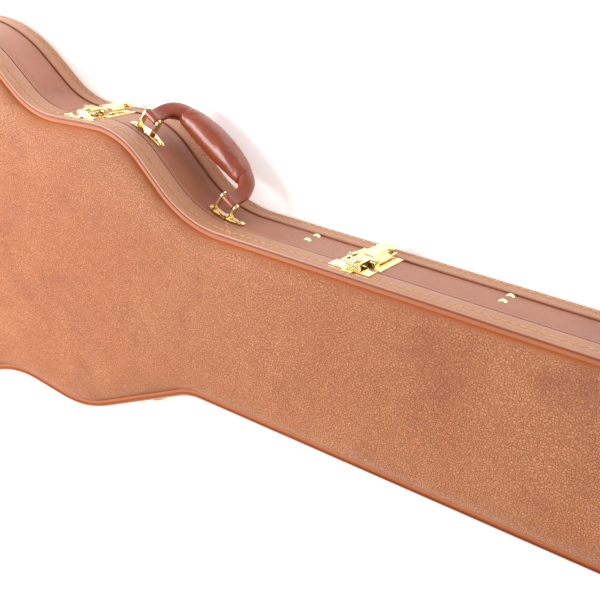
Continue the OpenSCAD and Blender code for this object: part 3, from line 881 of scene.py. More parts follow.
# The piping's paler tone is a painted highlight along the rounded bead.
PIPING = Leather("piping_painted_highlight", (0.56, 0.25, 0.15), (0.62, 0.30, 0.19), (0.44, 0.17, 0.09),
                 (0.22, 0.05, 0.018), 0.25, 700.0, 0.04, 0.15, 0.28, 0.2)
RIM = Leather("rim_binding", (0.50, 0.215, 0.12), (0.55, 0.25, 0.145), (0.40, 0.15, 0.08),
              (0.32, 0.09, 0.035), 0.25, 700.0, 0.04, 0.15, 0.32, 0.15)
HANDLE = Leather("handle_leather", (0.31, 0.055, 0.020), (0.37, 0.075, 0.028), (0.20, 0.034, 0.014),
                 (0.05, 0.008, 0.004), 0.4, 900.0, 0.05, 0.3, 0.25, 0.6)
GOLD = Plating("pale_gold_plating", (0.96, 0.83, 0.50), (0.92, 0.72, 0.32), 0.07)
WINE_PLUSH = Plush("wine_plush", (0.20, 0.02, 0.045), (0.36, 0.05, 0.09), 0.7, 0.5)
DARK_FOAM = Plush("dark_foam", (0.05, 0.045, 0.045), (0.09, 0.08, 0.08), 0.1, 0.6)
BIRCH = Plywood("birch_plywood", (0.66, 0.50, 0.31), (0.48, 0.33, 0.18))
GOLD_THREAD = Thread("gold_thread", (0.90, 0.50, 0.12), (0.72, 0.34, 0.06))


class Materials:
    """Builds every finish once."""

    def __init__(self) -> None:
        """Makes the materials in order."""
        kinds = (GRAINED, BAND, FIELD, BORDER, PIPING, RIM, HANDLE,
                 GOLD, WINE_PLUSH, DARK_FOAM, BIRCH, GOLD_THREAD)
        self._made = {kind.name: kind.material() for kind in kinds}

    def __getitem__(self, finish: object) -> Material:
        """Looks a finish's material up."""
        return self._made[finish.name]


# ---------------------------------------------------------------- stitching


@dataclass(frozen=True)
class Stitching:
    """A row of saddle stitches: each is a short thread that dives into the cover at both ends."""

    pitch: float = 8.4
    length: float = 7.5
    radius: float = 0.62
    slant: float = 0.45
    stations: int = 5
    sides: int = 6

    def row(
        self,
        name: str,
        place: Callable[[Array], tuple[Array, Array, Array]],
        total: float,
        keep: Callable[[Array], Array] | None = None,
    ) -> Piece:
        """Makes a row of stitches as one piece.

        A stitch is a chain of rings about a line. Its radius follows the root of one minus the
        eighth power of the place along it, and its line sinks with the fourth power.

        Args:
            name: The piece's name.
            place: Gives the point, the direction outwards and the direction across at distances
                along the row.
            total: The row's length.
            keep: Says which stitch middles to keep.

        Returns:
            The row.
        """
        count = int(total // self.pitch)
        middles = (np.arange(count) + 0.5) * total / count
        if keep is not None:
            middles = middles[keep(middles)]
        s = np.linspace(-0.93, 0.93, self.stations)
        around = np.linspace(0, math.tau, self.sides, endpoint=False)
        radius = self.radius * np.sqrt(1 - np.abs(s) ** 8)
        sink = -1.1 * self.radius * np.abs(s) ** 4
        along = np.concatenate([[-1], np.repeat(s, self.sides), [1]]) * self.length / 2
        tip = [-1.3 * self.radius]
        out = np.concatenate([tip, (sink[:, None] + radius[:, None] * np.sin(around)).ravel(), tip])
        across = np.concatenate([[0], (radius[:, None] * np.cos(around)).ravel(), [0]])
        across = across + self.slant * along / self.length * 2
        point, outwards, sideways = place(middles[:, None] + along[None, :])
        points = point + out[None, :, None] * outwards + across[None, :, None] * sideways
        size = len(along)
        body = grid_quads(self.stations, self.sides, wrap_columns=True) + 1
        ring = np.arange(self.sides)
        start = np.stack([np.zeros_like(ring), 1 + (ring + 1) % self.sides, 1 + ring], axis=1)
        base = 1 + (self.stations - 1) * self.sides
        end = np.stack([np.full_like(ring, size - 1), base + ring, base + (ring + 1) % self.sides], axis=1)
        shift = (np.arange(len(middles)) * size)[:, None, None]
        faces = [face for part in (body, start, end)
                 for face in (part[None] + shift).reshape(-1, part.shape[1]).tolist()]
        return mesh_object(name, points, faces, sharp_deg=80)


# ---------------------------------------------------------------- fittings' places


@dataclass(frozen=True)
class WallPlace:
    """A place on the outside of the case, with the fitting's half width along the wall."""

    x: float
    y: float
    half_width: float


FITTINGS = (
    WallPlace(-208.0, 167.8, 24.0), WallPlace(138.5, 95.0, 24.0),
    WallPlace(-93.0, -124.9, 24.0), WallPlace(-480.0, 229.1, 24.0),
    WallPlace(-434.1, -218.0, 22.0), WallPlace(472.7, -98.4, 22.0),
)


# ---------------------------------------------------------------- the covers


@dataclass
class BandStitches:
    """The stitch row that runs round a band and stops at the fittings on it."""

    outline: Outline
    stitching: Stitching = field(default_factory=Stitching)

    def make(self, name: str, height: float, distance: float, skip_fittings: bool) -> Piece:
        """Makes the row.

        Args:
            name: The piece's name.
            height: Height of the row.
            distance: Distance of the threads from the outline.
            skip_fittings: Leaves the stitches out that the plates on the band would cover.

        Returns:
            The row of stitches.
        """
        outline = self.outline

        def place(along: Array) -> tuple[Array, Array, Array]:
            """Gives the point, outwards and across at distances along the row.

            Args:
                along: Distances along the row.

            Returns:
                The points and the two directions.
            """
            p, n = outline.at(along)
            level = np.zeros_like(p[..., :1])
            point = np.concatenate([p + distance * n, level + height], axis=-1)
            return point, np.concatenate([n, level], axis=-1), np.array([0.0, 0.0, -1.0])

        def clear(middles: Array) -> Array:
            """Says which stitches no fitting covers.

            Args:
                middles: The stitches' middles along the row.

            Returns:
                True for each stitch that stays.
            """
            p, _ = outline.at(middles)
            keep = np.ones(len(middles), bool)
            for spot in FITTINGS:
                room = spot.half_width + self.stitching.length / 2
                keep &= np.hypot(p[:, 0] - spot.x, p[:, 1] - spot.y) > room
            return keep

        return self.stitching.row(name, place, outline.length, clear if skip_fittings else None)


@dataclass
class Covers:
    """What the covers of the lid and of the base share."""

    outline: Outline
    materials: Materials

    def strip(self, name: str, profile: Array, body: Body, slot: Slot, finish: object,
              node: str | None = None, wobble: float = 0.0, crease: Array | None = None) -> Piece:
        """Carries a profile round the case and finishes the strip.

        Args:
            name: The piece's name.
            profile: The closed profile.
            body: The body that it rides on.
            slot: Its material slot; not used.
            finish: Its finish.
            node: The CAD node that it stands for.
            wobble: How far the profile strays.
            crease: How much painted shade darkens each profile point.

        Returns:
            The strip.
        """
        piece = carry(name, self.outline, profile, wobble, crease)
        return finish_piece(piece, body, self.materials[finish], [node] if node else [])

    def thread(self, name: str, body: Body, height: float, skip_fittings: bool) -> Piece:
        """Makes a band's row of gold stitches."""
        piece = BandStitches(self.outline).make(name, height, 0.05, skip_fittings)
        return finish_piece(piece, body, self.materials[GOLD_THREAD])


@dataclass
class LidCovers(Covers):
    """The lid's outside: grained dome, smooth border, piping, stitched band and rim."""

    edge_z: float = 100.0
    dome_rise: float = 13.0
    dome_crown: float = 1.4
    shoulder: float = 8.6
    shoulder_power: float = 0.87
    border_in: float = 7.2
    stitch_z: float = 89.0
    rim_z: float = 71.6

    def dome(self) -> Piece:
        """The grained dome. It rises quickly from the border and levels out towards the middle.

        The rise is one minus a falling exponential of the distance in, and a slight crown rises
        on top of it towards the spine.

        Returns:
            The dome.
        """
        base, full = self.edge_z - 1, self.dome_rise + 1 - self.dome_crown

        def height(v: Array, c: Array) -> Array:
            """Gives the height from v and c."""
            rise = 1 - np.exp(-((v / self.shoulder) ** self.shoulder_power))
            return base + full * rise + self.dome_crown * smooth_step(c)

        piece = drawn_in("lid_dome_cover", self.outline, self.border_in, height, 2.4)
        return finish_piece(piece, Body.LID, self.materials[GRAINED], ["lid_top_panel"])

    def border(self) -> Piece:
        """The smooth recessed border between the piping and the dome.

        Returns:
            The border.
        """
        top = self.edge_z - 1.0
        profile = rounded([(-9.6, top - 2.2, 0), (-2.0, top - 2.2, 0), (-2.3, top - 1.2, 0.3),
                           (-3.2, top - 0.2, 0.6), (-6, top + 0.1, 1.2), (-8.4, top + 0.1, 0.5),
                           (-9.6, top - 0.4, 0.3)])
        # Painted shade in the groove between the border and the piping.
        crease = near(profile[:, 0], -2.5, 1.9) ** 0.9
        return self.strip("lid_smooth_border", profile, Body.LID, Slot.BAND, BORDER,
                          wobble=0.06, crease=crease)

    def piping(self) -> Piece:
        """The round piping along the lid's edge.

        Returns:
            The piping.
        """
        turn = np.linspace(0, math.tau, 20, endpoint=False)
        profile = np.stack([-0.95 + 1.2 * np.cos(turn), self.edge_z - 1.25 + 1.2 * np.sin(turn)], axis=1)
        # Painted shade on the piping's inner side, in the groove towards the border.
        crease = np.clip((np.cos(turn - math.radians(175)) + 0.1) * 1.3, 0, 1)
        return self.strip("lid_edge_piping", profile, Body.LID, Slot.TRIM, PIPING,
                          "lid_edge_bead", 0.08, crease)

    def band(self) -> Piece:
        """The stitched band: slightly full above the rim and drawn in along its stitches.

        Returns:
            The band.
        """
        z = self.stitch_z
        profile = rounded([
            (-2.8, 73.7, 0), (-0.9, 73.7, 0.3), (0.30, 75.0, 0.9), (0.42, 79.0, 1.5), (0.10, 84.0, 1.6),
            (0.0, z - 1.4, 0.3), (-0.34, z, 0.3), (0.0, z + 1.4, 0.3), (0.12, 93.5, 1.5), (0.0, 96.4, 0.9),
            (-0.5, 98.2, 0.4), (-2.8, 98.4, 0),
        ])
        # Painted shade along the stitch groove and along the band's top and bottom edges, next to the piping
        # and the rim.
        crease = near(profile[:, 1], z, 0.9) * 0.25
        crease = np.maximum(crease, np.clip(1 - (98.3 - profile[:, 1]) / 1.0, 0, 1) * 0.5)
        crease = np.maximum(crease, np.clip(1 - (profile[:, 1] - 73.7) / 0.9, 0, 1) * 0.5)
        return self.strip("lid_stitched_band", profile, Body.LID, Slot.BAND, BAND, "lid_band", 0.10, crease)

    def rim(self) -> Piece:
        """The rounded strip under the lid's band.

        Returns:
            The strip.
        """
        z = self.rim_z
        profile = rounded([(-8.0, z, 0), (0.3, z, 0.4), (0.4, z + 1.95, 0.6), (-8.0, z + 1.95, 0)])
        # Painted shade on the strip's underside, in the parting gap.
        dark = (profile[:, 1] < z + 0.3) * 0.7
        return self.strip("lid_rim_strip", profile, Body.LID, Slot.TRIM, RIM, "lid_rim_trim", crease=dark)

    def build(self) -> None:
        """Makes the lid's outside."""
        self.dome()
        self.border()
        self.piping()
        self.band()
        self.rim()
        self.thread("lid_band_stitches", Body.LID, self.stitch_z, True)


@dataclass
class BaseCovers(Covers):
    """The base's outside: the plain side field, the stitched back band, the back and the rim."""

    rim_z: float = 71.2
    recess: float = 1.8
    band_top: float = 25.0
    stitch_z: float = 10.8
    back_round: float = 6.2

    def field_cover(self) -> Piece:
        """The plain side field: a skin that is a little full between its two edges.

        Returns:
            The cover.
        """
        low, high, back = self.band_top - 0.6, self.rim_z - 2.0, -self.recess - 1.0
        t = np.linspace(0, 1, 15)
        bulge = 0.3 * (1 - (2 * t - 1) ** 4) - 0.25 * (np.abs(2 * t - 1) ** 14)
        face = np.stack([-self.recess + bulge, low + (high - low) * t], axis=1)
        profile = np.concatenate([[[back, low]], face, [[back, high]]])
        # Painted shade along both edges of the recessed field, under the raised bands.
        edge = np.minimum(profile[:, 1] - low, high - profile[:, 1])
        crease = np.clip(1 - edge / 2.2, 0, 1) ** 1.5 * 0.9
        return self.strip("side_field_cover", profile, Body.BASE, Slot.GRAINED, FIELD,
                          "base_covering", 0.12, crease)

    def back_band(self) -> Piece:
        """The band along the back edge, which rolls round the edge and ends on the back.

        Returns:
            The band.
        """
        z, r = self.stitch_z, self.back_round
        profile = rounded([
            (-14.0, 1.6, 0), (-14.0, 0.0, 0.5), (-r, 0.0, 1.0), (-r * 0.29, r * 0.29, r * 0.5),
            (0.0, r, 1.0), (0.0, z - 1.4, 0.3), (-0.34, z, 0.3), (0.0, z + 1.4, 0.3), (0.12, 18.5, 1.6),
            (0.05, self.band_top - 1.6, 0.8), (-0.7, self.band_top, 0.5), (-2.8, self.band_top, 0),
            (-2.8, 1.6, 0),
        ])
        # Painted shade along the stitch groove, along the band's top edge over the field, and where its end
        # meets the back.
        crease = near(profile[:, 1], z, 0.9) * 0.25
        crease = np.maximum(crease, np.clip(1 - (self.band_top - profile[:, 1]) / 1.0, 0, 1) * 0.8)
        crease = np.maximum(crease, np.clip((-12.8 - profile[:, 0]), 0, 1) * 0.9)
        return self.strip("back_edge_band", profile, Body.BASE, Slot.BAND, BAND, "back_band", 0.0, crease)

    def back_cover(self) -> Piece:
        """The grained back, which lies a little behind the band's edge.

        Returns:
            The cover.
        """
        def height(v: Array, c: Array) -> Array:
            """Gives the height from v and c."""
            del c
            return 0.35 + 0.9 * np.exp(-v / 1.2)

        piece = drawn_in("back_grained_cover", self.outline, 13.8, height, 3.0, looks_up=False)
        return finish_piece(piece, Body.BASE, self.materials[GRAINED], ["back_panel"])

    def rim(self) -> Piece:
        """The rounded strip along the base's mouth.

        Returns:
            The strip.
        """
        z = self.rim_z
        profile = rounded([(-8.0, z - 1.95, 0), (-0.1, z - 1.95, 0.5), (0.3, z, 0.4), (-8.0, z, 0.3)])
        # Painted shade on the strip's top, in the parting gap.
        dark = (profile[:, 1] > z - 0.3) * 0.6
        return self.strip("base_rim_strip", profile, Body.BASE, Slot.TRIM, RIM, "base_rim_trim", crease=dark)

    def lip(self) -> Piece:
        """The covered lip inside the mouth, with a round top.

        Returns:
            The lip.
        """
        profile = rounded([(-10.2, 61.0, 0), (-8.05, 61.0, 0), (-8.05, 68.9, 0.2), (-8.4, 69.3, 0.2),
                           (-8.4, 76.8, 0.85), (-10.2, 76.8, 0.85)])
        return self.strip("mouth_lip", profile, Body.BASE, Slot.PLUSH, WINE_PLUSH, "dust_lip")

    def build(self) -> None:
        """Makes the base's outside."""
        self.field_cover()
        self.back_band()
        self.back_cover()
        self.rim()
        self.lip()
        self.thread("back_band_stitches", Body.BASE, self.stitch_z, False)


# ---------------------------------------------------------------- padding


@dataclass(frozen=True)
class Padding:
    """How a stuffed piece is filled: a voxel skin, blown up by cloth pressure, then smoothed."""

    voxel: float
    pressure: float
    cap: float
    slack: float = 0.0
    frames: int = 16

    def fill(self, piece: Piece, hold: Callable[[Array], Array] | None = None) -> None:
        """Fills a piece in place.

        The skin is remeshed to even cells and inflated as cloth without gravity. A point may move
        no further than the cap from where it was. Then one subdivision evens the skin.

        Args:
            piece: The closed piece to fill.
            hold: Gives each point's hold from 0, free, to 1, glued down.
        """
        remesh = piece.modifiers.new("voxels", "REMESH")
        remesh.mode = "VOXEL"
        remesh.voxel_size = self.voxel * MM
        bake_modifiers(piece)
        rest = vertex_array(piece)
        held = np.zeros(len(rest)) if hold is None else hold(rest / MM)
        moved = self._inflate(piece, rest, held)
        step = moved - rest
        size = np.linalg.norm(step, axis=1, keepdims=True)
        limit = self.cap * MM * (1 - held[:, None])
        step *= np.minimum(1, limit / np.maximum(size, 1e-9))
        piece.data.vertices.foreach_set("co", (rest + step).astype(np.float32).ravel())
        smooth = piece.modifiers.new("even", "SMOOTH")
        smooth.factor, smooth.iterations = 0.5, 2
        bake_modifiers(piece)
        finer = piece.modifiers.new("finer", "SUBSURF")
        finer.levels = finer.render_levels = 1
        bake_modifiers(piece)
        piece.data.shade_smooth()

    def _inflate(self, piece: Piece, rest: Array, held: Array) -> Array:
        """Runs the cloth and gives where its points end.

        Args:
            piece: The closed skin.
            rest: Its points before, in metres.
            held: Each point's hold, 0 to 1.

        Returns:
            The points after, in metres.
        """
        scene = bpy.context.scene
        group = piece.vertex_groups.new(name="held")
        for number in np.nonzero(held > 0.5)[0].tolist():
            group.add([number], 1.0, "REPLACE")
        cloth = piece.modifiers.new("filling", "CLOTH")
        settings = cloth.settings
        settings.use_pressure = True
        settings.uniform_pressure_force = self.pressure
        settings.effector_weights.gravity = 0
        settings.shrink_min = -self.slack
        settings.quality = 5
        settings.vertex_group_mass = "held" if (held > 0.5).any() else ""
        cloth.point_cache.frame_start, cloth.point_cache.frame_end = 1, self.frames
        scene.frame_start, scene.frame_end = 1, self.frames
        for number in range(1, self.frames + 1):
            scene.frame_set(number)
        graph = bpy.context.evaluated_depsgraph_get()
        shown = piece.evaluated_get(graph)
        out = np.zeros(len(rest) * 3, np.float32)
        shown.data.vertices.foreach_get("co", out)
        piece.modifiers.remove(cloth)
        scene.frame_set(1)
        return out.reshape(-1, 3).astype(float)


def vertex_array(piece: Piece) -> Array:
    """The piece's points, in metres.

    Args:
        piece: A mesh object.

    Returns:
        A row of three numbers for each point.
    """
    out = np.zeros(len(piece.data.vertices) * 3, np.float32)
    piece.data.vertices.foreach_get("co", out)
    return out.reshape(-1, 3).astype(float)


def bake_modifiers(piece: Piece) -> None:
    """Puts the result of the modifiers into the mesh and removes them.

    Args:
        piece: A mesh object with modifiers.
    """
    graph = bpy.context.evaluated_depsgraph_get()
    made = bpy.data.meshes.new_from_object(piece.evaluated_get(graph))
    piece.modifiers.clear()
    old, piece.data = piece.data, made
    bpy.data.meshes.remove(old)


def prism(name: str, rim: Array, axis: int, low: float, high: float) -> Piece:
    """A closed block with a flat outline.

    Args:
        name: The piece's name.
        rim: The outline's points, counter-clockwise seen from the end of the axis.
        axis: 0 to stretch the block along x, with (y, z) points, or 2 along z, with (x, y) points.
        low: Where the block starts.
        high: Where it ends.

    Returns:
        The block.
    """
    n = len(rim)
    ends = []
    for place in (low, high):
        column = np.full((n, 1), place)
        ends.append(np.hstack([rim, column]) if axis == 2 else np.hstack([column, rim]))
    return mesh_object(name, np.concatenate(ends), tube_faces(2, n), sharp_deg=30)


def framed_block(name: str, outer: Array, inner: Array, low: float, high: float) -> Piece:
    """A closed ring-shaped block between two matching outlines of the same number of points.

    Args:
        name: The piece's name.
        outer: The outer outline.
        inner: The inner outline.
        low: Where the block starts.
        high: Where it ends.

    Returns:
        The block.
    """
    rings = [(inner, high), (inner, low), (outer, low), (outer, high)]
    points = np.stack([np.hstack([r, np.full((len(r), 1), z)]) for r, z in rings])
    return mesh_object(name, points, grid_quads(4, len(outer), wrap_rows=True, wrap_columns=True), 30)


@dataclass
class Interior:
    """The inside: padded beds, floor, neck cradle, compartment and the lid's lining."""

    outline: Outline
    materials: Materials
    floor_z: float = 6.0
    foam_z: float = 62.0
    wall: float = 8.6
    pad: float = 28.8
    shoulder_x: float = -62.0
    channel: float = 37.0
    bed_end: float = 31.0

    def stuffed(self, piece: Piece, padding: Padding | None, glued_z: float, body: Body, node: str) -> Piece:
        """Fills a plush piece and finishes it.

        Args:
            piece: The closed piece.
            padding: How it is filled, or None for a thin lining.
            glued_z: The height below which it is glued down.
            body: The body that it rides on.
            node: The CAD node that it stands for.

        Returns:
            The padded piece.
        """
        if padding is not None:
            padding.fill(piece, lambda p: (p[:, 2] < glued_z).astype(float))
        finish_piece(piece, body, self.materials[WINE_PLUSH], [node])
        return piece

    def body_bed(self) -> Piece:
        """The horseshoe-shaped bed round the instrument's body, filled and plush covered.

        Returns:
            The bed.
        """
        outer = self.outline.ring(-self.wall)
        outer = outer[outer[:, 0] < self.bed_end]
        outer = np.vstack([[self.bed_end, outer[0, 1]], outer, [self.bed_end, outer[-1, 1]]])
        inner = self.outline.ring(-self.pad)
        inner = inner[inner[:, 0] < self.shoulder_x - 8]
        x, y0, y1 = self.shoulder_x, inner[0, 1], inner[-1, 1]
        turn = np.linspace(0, math.pi / 2, 7)
        top = np.stack([x - 8 + 8 * np.sin(turn), y0 - 8 + 8 * np.cos(turn)], axis=1)
        low = np.stack([x + 8 - 8 * np.cos(turn), self.channel + 8 - 8 * np.sin(turn)], axis=1)
        start = np.vstack([[self.bed_end, self.channel], low[::-1], top[::-1]])
        stop = np.vstack([top * (1, -1), low * (1, -1), [self.bed_end, -self.channel]])
        stop[: len(top), 1] += y1 + y0
        loop = np.vstack([outer, np.vstack([start, inner, stop])[::-1]])
        piece = prism("body_bed", loop, 2, self.floor_z, self.foam_z - 1.0)
        return self.stuffed(piece, Padding(5.0, 4.0, 1.8, frames=10), 12, Body.BASE, "body_foam")

    def head_bed(self) -> Piece:
        """The frame-shaped bed round the instrument's head.

        Returns:
            The bed.
        """
        def box(x0: float, x1: float, half: float, r0: float, r1: float) -> Array:
            """Gives a rectangle of half width half, with corners of r0 at x0 and r1 at x1."""
            return rounded([(x0, -half, r0), (x1, -half, r1), (x1, half, r1), (x0, half, r0)], 8)

        outer = box(275.8, 521.2, 86.2, 1.5, 25.0)
        inner = box(296.0, 507.0, 72.0, 12.0, 18.0)
        piece = framed_block("head_bed", outer, inner, self.floor_z, self.foam_z - 1.0)
        return self.stuffed(piece, Padding(4.5, 4.0, 1.6, frames=10), 12, Body.BASE, "head_foam")

    def cradle(self) -> Piece:
        """The neck cradle: a padded block with a round groove.

        Returns:
            The cradle.
        """
        half, top, groove, centre = 83.4, 73.2, 26.8, 80.0
        edge = math.acos((centre - top) / groove)
        turn = np.linspace(-edge, edge, 25)
        dip = np.stack([groove * np.sin(turn), centre - groove * np.cos(turn)], axis=1)[::-1]
        rim = np.vstack([[(-half, self.floor_z), (half, self.floor_z), (half, top)], dip, [(-half, top)]])
        piece = prism("neck_cradle_pad", rim, 0, 33.8, 58.2)
        return self.stuffed(piece, Padding(3.0, 5.0, 1.4, frames=14), 10, Body.BASE, "neck_cradle")

    def floors(self) -> Piece:
        """The plush on the floor of the three spaces: a flat sheet a space, joined into one piece.

        Returns:
            The lining.
        """
        inner = self.outline.ring(-self.pad + 2)
        spaces = [
            inner[inner[:, 0] < self.bed_end],
            rounded([(67, -86.5, 1), (269, -86.5, 1), (269, 86.5, 1), (67, 86.5, 1)], 2),
            rounded([(293, -75, 10), (509, -75, 18), (509, 75, 18), (293, 75, 10)], 6),
        ]
        made = [prism(f"floor_part_{k}", rim, 2, self.floor_z + 0.1, self.floor_z + 3.0)
                for k, rim in enumerate(spaces)]
        piece = join_pieces("plush_floor_lining", made)
        return self.stuffed(piece, None, 0, Body.BASE, "plush_floor")

    def lid_lining(self) -> Piece:
        """The soft lining inside the lid, full towards its middle.

        Returns:
            The lining.
        """
        def height(v: Array, c: Array) -> Array:
            """Gives the height from v and c."""
            return 83.6 - 1.5 * (1 - np.exp(-v / 4.0)) - 0.3 * smooth_step(c)

        piece = drawn_in("lid_plush_lining", self.outline, 12.0, height, 0.35, looks_up=False)
        return self.stuffed(piece, None, 0, Body.LID, "lid_lining")

    def compartment_lid(self) -> Piece:
        """The compartment's lid: a board in padded plush.

        Returns:
            The compartment's lid.
        """
        rim = rounded([(62.6, -82.9, 4), (273.4, -82.9, 4), (273.4, 82.9, 4), (62.6, 82.9, 4)], 4)
        piece = prism("compartment_lid_pad", rim, 2, 50.8, 54.6)
        padding = Padding(2.6, 3.0, 0.9, frames=10)
        return self.stuffed(piece, padding, 51.5, Body.COMPARTMENT, "compartment_lid")

    def pull_tab(self) -> Piece:
        """The leather tab that opens the compartment: a strip with a lifted round end.

        Returns:
            The tab.
        """
        length, half, thick, x, y1, z = 26.0, 10.0, 1.5, 168.0, 79.5, 55.7
        s = np.linspace(0, 1, 28)[:, None]
        t = np.linspace(-1, 1, 15)[None, :]
        width = half * np.sqrt(np.clip(1 - np.clip((s - 0.62) / 0.38, 0, 1) ** 2.2, 0.004, 1))
        px = x + width * t
        py = y1 - length + length * s
        pz = z + 0.9 * np.clip((s - 0.55) / 0.45, 0, 1) ** 2
        sheet = np.stack(np.broadcast_arrays(px, py, pz), axis=-1)
        piece = mesh_object("compartment_tab", sheet, grid_quads(28, 15), 60)
        solid = piece.modifiers.new("thickness", "SOLIDIFY")
        solid.thickness, solid.offset = thick * MM, -1.0
        bevel = piece.modifiers.new("edge", "BEVEL")
        bevel.width, bevel.segments = 0.35 * MM, 2
        bake_modifiers(piece)
        finish_piece(piece, Body.COMPARTMENT, self.materials[HANDLE], ["compartment_pull_tab"])
        return piece

    def build(self) -> None:
        """Makes the inside."""
        self.body_bed()
        self.head_bed()
        self.cradle()
        self.floors()
        self.lid_lining()
        self.compartment_lid()
        self.pull_tab()


def join_pieces(name: str, pieces: Sequence[Piece]) -> Piece:
    """Joins pieces into one mesh object.

    Args:
        name: The joined piece's name.
        pieces: The pieces, which are removed.

    Returns:
        The joined piece.
    """
    whole = bmesh.new()
    for piece in pieces:
        whole.from_mesh(piece.data)
        mesh = piece.data
        bpy.data.objects.remove(piece)
        bpy.data.meshes.remove(mesh)
    mesh = bpy.data.meshes.new(name)
    whole.to_mesh(mesh)
    whole.free()
    made = bpy.data.objects.new(name, mesh)
    bpy.context.scene.collection.objects.link(made)
    return made


# ---------------------------------------------------------------- the handle


@dataclass
class Handle:
    """The padded handle: a stuffed grip between two straps that are folded round their pins."""

    outline: Outline
    materials: Materials
    height: float = 59.5
    pins_out: float = 17.0
    lean_deg: float = 70.0
    rise: float = 34.5
    grip_l: float = 96.0
    grip_r: float = 15.2
    grip_end_r: float = 10.6
    strap_w: float = 16.0
    bend_r: float = 14.0

    def __post_init__(self) -> None:
        """Works out the handle's frame from the two pins."""
        pins = [
            self.outline.on_arc(corner, normal)
            + self.pins_out * np.array([math.cos(math.radians(normal)), math.sin(math.radians(normal))])
            for corner, normal in ((2, 68.0), (1, 79.0))
        ]
        middle, span = (pins[0] + pins[1]) / 2, pins[1] - pins[0]
        self.half_span = float(np.linalg.norm(span)) / 2
        self.origin = np.array([middle[0], middle[1], self.height])
        turn = Matrix.Rotation(math.atan2(span[1], span[0]), 3, "Z")
        lean = Matrix.Rotation(-math.radians(self.lean_deg), 3, "X")
        self.axes = np.array(turn @ lean, float)

    def to_case(self, points: Array) -> Array:
        """Turns points from the handle's own frame (along, out, across) into the case's frame."""
        return points @ self.axes.T + self.origin

    def grip(self) -> Piece:
        """The stuffed grip.

        Its radius is an arc that falls from the middle to the ends, and its middle line moves
        outwards as it thickens, so that the hand's side stays nearly straight.

        Returns:
            The grip.
        """
        stations, sides = 90, 56
        s = np.linspace(-1, 1, stations)
        x = s * (self.grip_l / 2 + 0.4)
        radius = self.grip_end_r + (self.grip_r - self.grip_end_r) * (1 - np.abs(s) ** 2.1)
        close = np.sqrt(np.clip(1 - ((np.abs(x) - self.grip_l / 2 + 1.6) / 2.0).clip(0, 1) ** 2, 0.02, 1))
        centre = self.rise - 1.6 + 0.7 * (radius - self.grip_end_r)
        turn = np.linspace(0, math.tau, sides, endpoint=False)
        r = (radius * close)[:, None]
        y = centre[:, None] + r * np.cos(turn)
        z = r * np.sin(turn) * 0.97
        points = np.stack([np.repeat(x[:, None], sides, axis=1), y, z], axis=-1)
        faces = tube_faces(stations, sides, flip=True)
        piece = mesh_object("handle_padded_grip", self.to_case(points), faces, 60)
        middle = self.to_case(np.array([[0.0, self.rise, 0.0]]))[0]
        along = self.axes[:, 0]

        def hold(p: Array) -> Array:
            """Holds the points near the two ends, and none in between."""
            return (np.abs((p - middle) @ along) > self.grip_l / 2 - 2.0).astype(float)

        Padding(1.8, 3.0, 0.6, slack=0.015, frames=18).fill(piece, hold)
        finish_piece(piece, Body.HANDLE, self.materials[HANDLE], ["handle_grip"])
        return piece

    def strap(self, side: int) -> Piece:
        """One strap: folded round its pin, flat above it, then bending round into the grip.

        The section is a superellipse. It is as wide as the strap all the way, and its thickness
        grows from the folded leather's to the grip's. Its power falls from square to round. A
        groove along each edge shows the two layers.

        Args:
            side: -1 for the strap at the waist's end of the handle, 1 for the other.

        Returns:
            The strap.
        """
        bend = self.bend_r + self.strap_w / 2
        centre = np.array([self.half_span - bend, self.rise - bend])
        barrel, folded = 5.0, 3.3
        straight = np.linspace(-barrel, centre[1], 30)
        last = math.acos((self.grip_l / 2 - 2.5 - centre[0]) / bend)
        angle = np.linspace(0, last, 40)[1:]
        path = np.concatenate([
            np.stack([np.full_like(straight, self.half_span), straight], axis=1),
            centre + bend * np.stack([np.cos(angle), np.sin(angle)], axis=1),
        ])
        across = np.concatenate([
            np.tile([1.0, 0.0], (len(straight), 1)),
            np.stack([np.cos(angle), np.sin(angle)], axis=1),
        ])
        step = np.linalg.norm(np.diff(path, axis=0), axis=1)
        t = np.concatenate([[0], np.cumsum(step)])
        share = t / t[-1]
        flat = folded + (self.grip_end_r - 1.0 - folded) * smooth_step((share - 0.25) / 0.7)
        fold = np.sqrt(np.clip(barrel**2 - path[:, 1] ** 2, 0.02, None))
        below = path[:, 1] < 3.6
        thick = np.where(below, np.maximum(fold, np.where(path[:, 1] < 0, 0, folded)), flat)
        wide = self.strap_w / 2 - 0.3 + 1.2 * smooth_step((share - 0.4) / 0.6)
        power = 2 / (6.5 - 4.3 * smooth_step((share - 0.2) / 0.7))
        sides = 72
        turn = np.linspace(0, math.tau, sides, endpoint=False)
        cos, sin = np.cos(turn), np.sin(turn)
        u = np.sign(cos) * np.abs(cos) ** power[:, None]
        w = np.sign(sin) * np.abs(sin) ** power[:, None]
        groove = 0.55 * np.exp(-((w * thick[:, None]) / 0.45) ** 2) * (np.abs(cos) > 0.5)
        groove = groove * (1 - smooth_step((share - 0.7) / 0.25))[:, None] * (np.abs(path[:, 1]) > 1)[:, None]
        along = path[:, None, :] + across[:, None, :] * (u * (wide[:, None] - groove))[..., None]
        lift = w * thick[:, None]
        points = np.concatenate([along, lift[..., None]], axis=-1)
        points[..., 0] *= side
        faces = tube_faces(len(path), sides, flip=side > 0)
        # Painted shade in the grooves along the strap's edges.
        groove_shade = np.clip(groove / 0.55, 0, 1) * 0.8
        number = 1 if side < 0 else 2
        name = f"handle_leather_strap_{number}"
        piece = mesh_object(name, self.to_case(points), faces, 70, {"crease": groove_shade})
        node = f"handle_strap_{number}"
        return finish_piece(piece, Body.HANDLE, self.materials[HANDLE], [node])

    def build(self) -> None:
        """Makes the handle."""
        self.grip()
        self.strap(-1)
        self.strap(1)


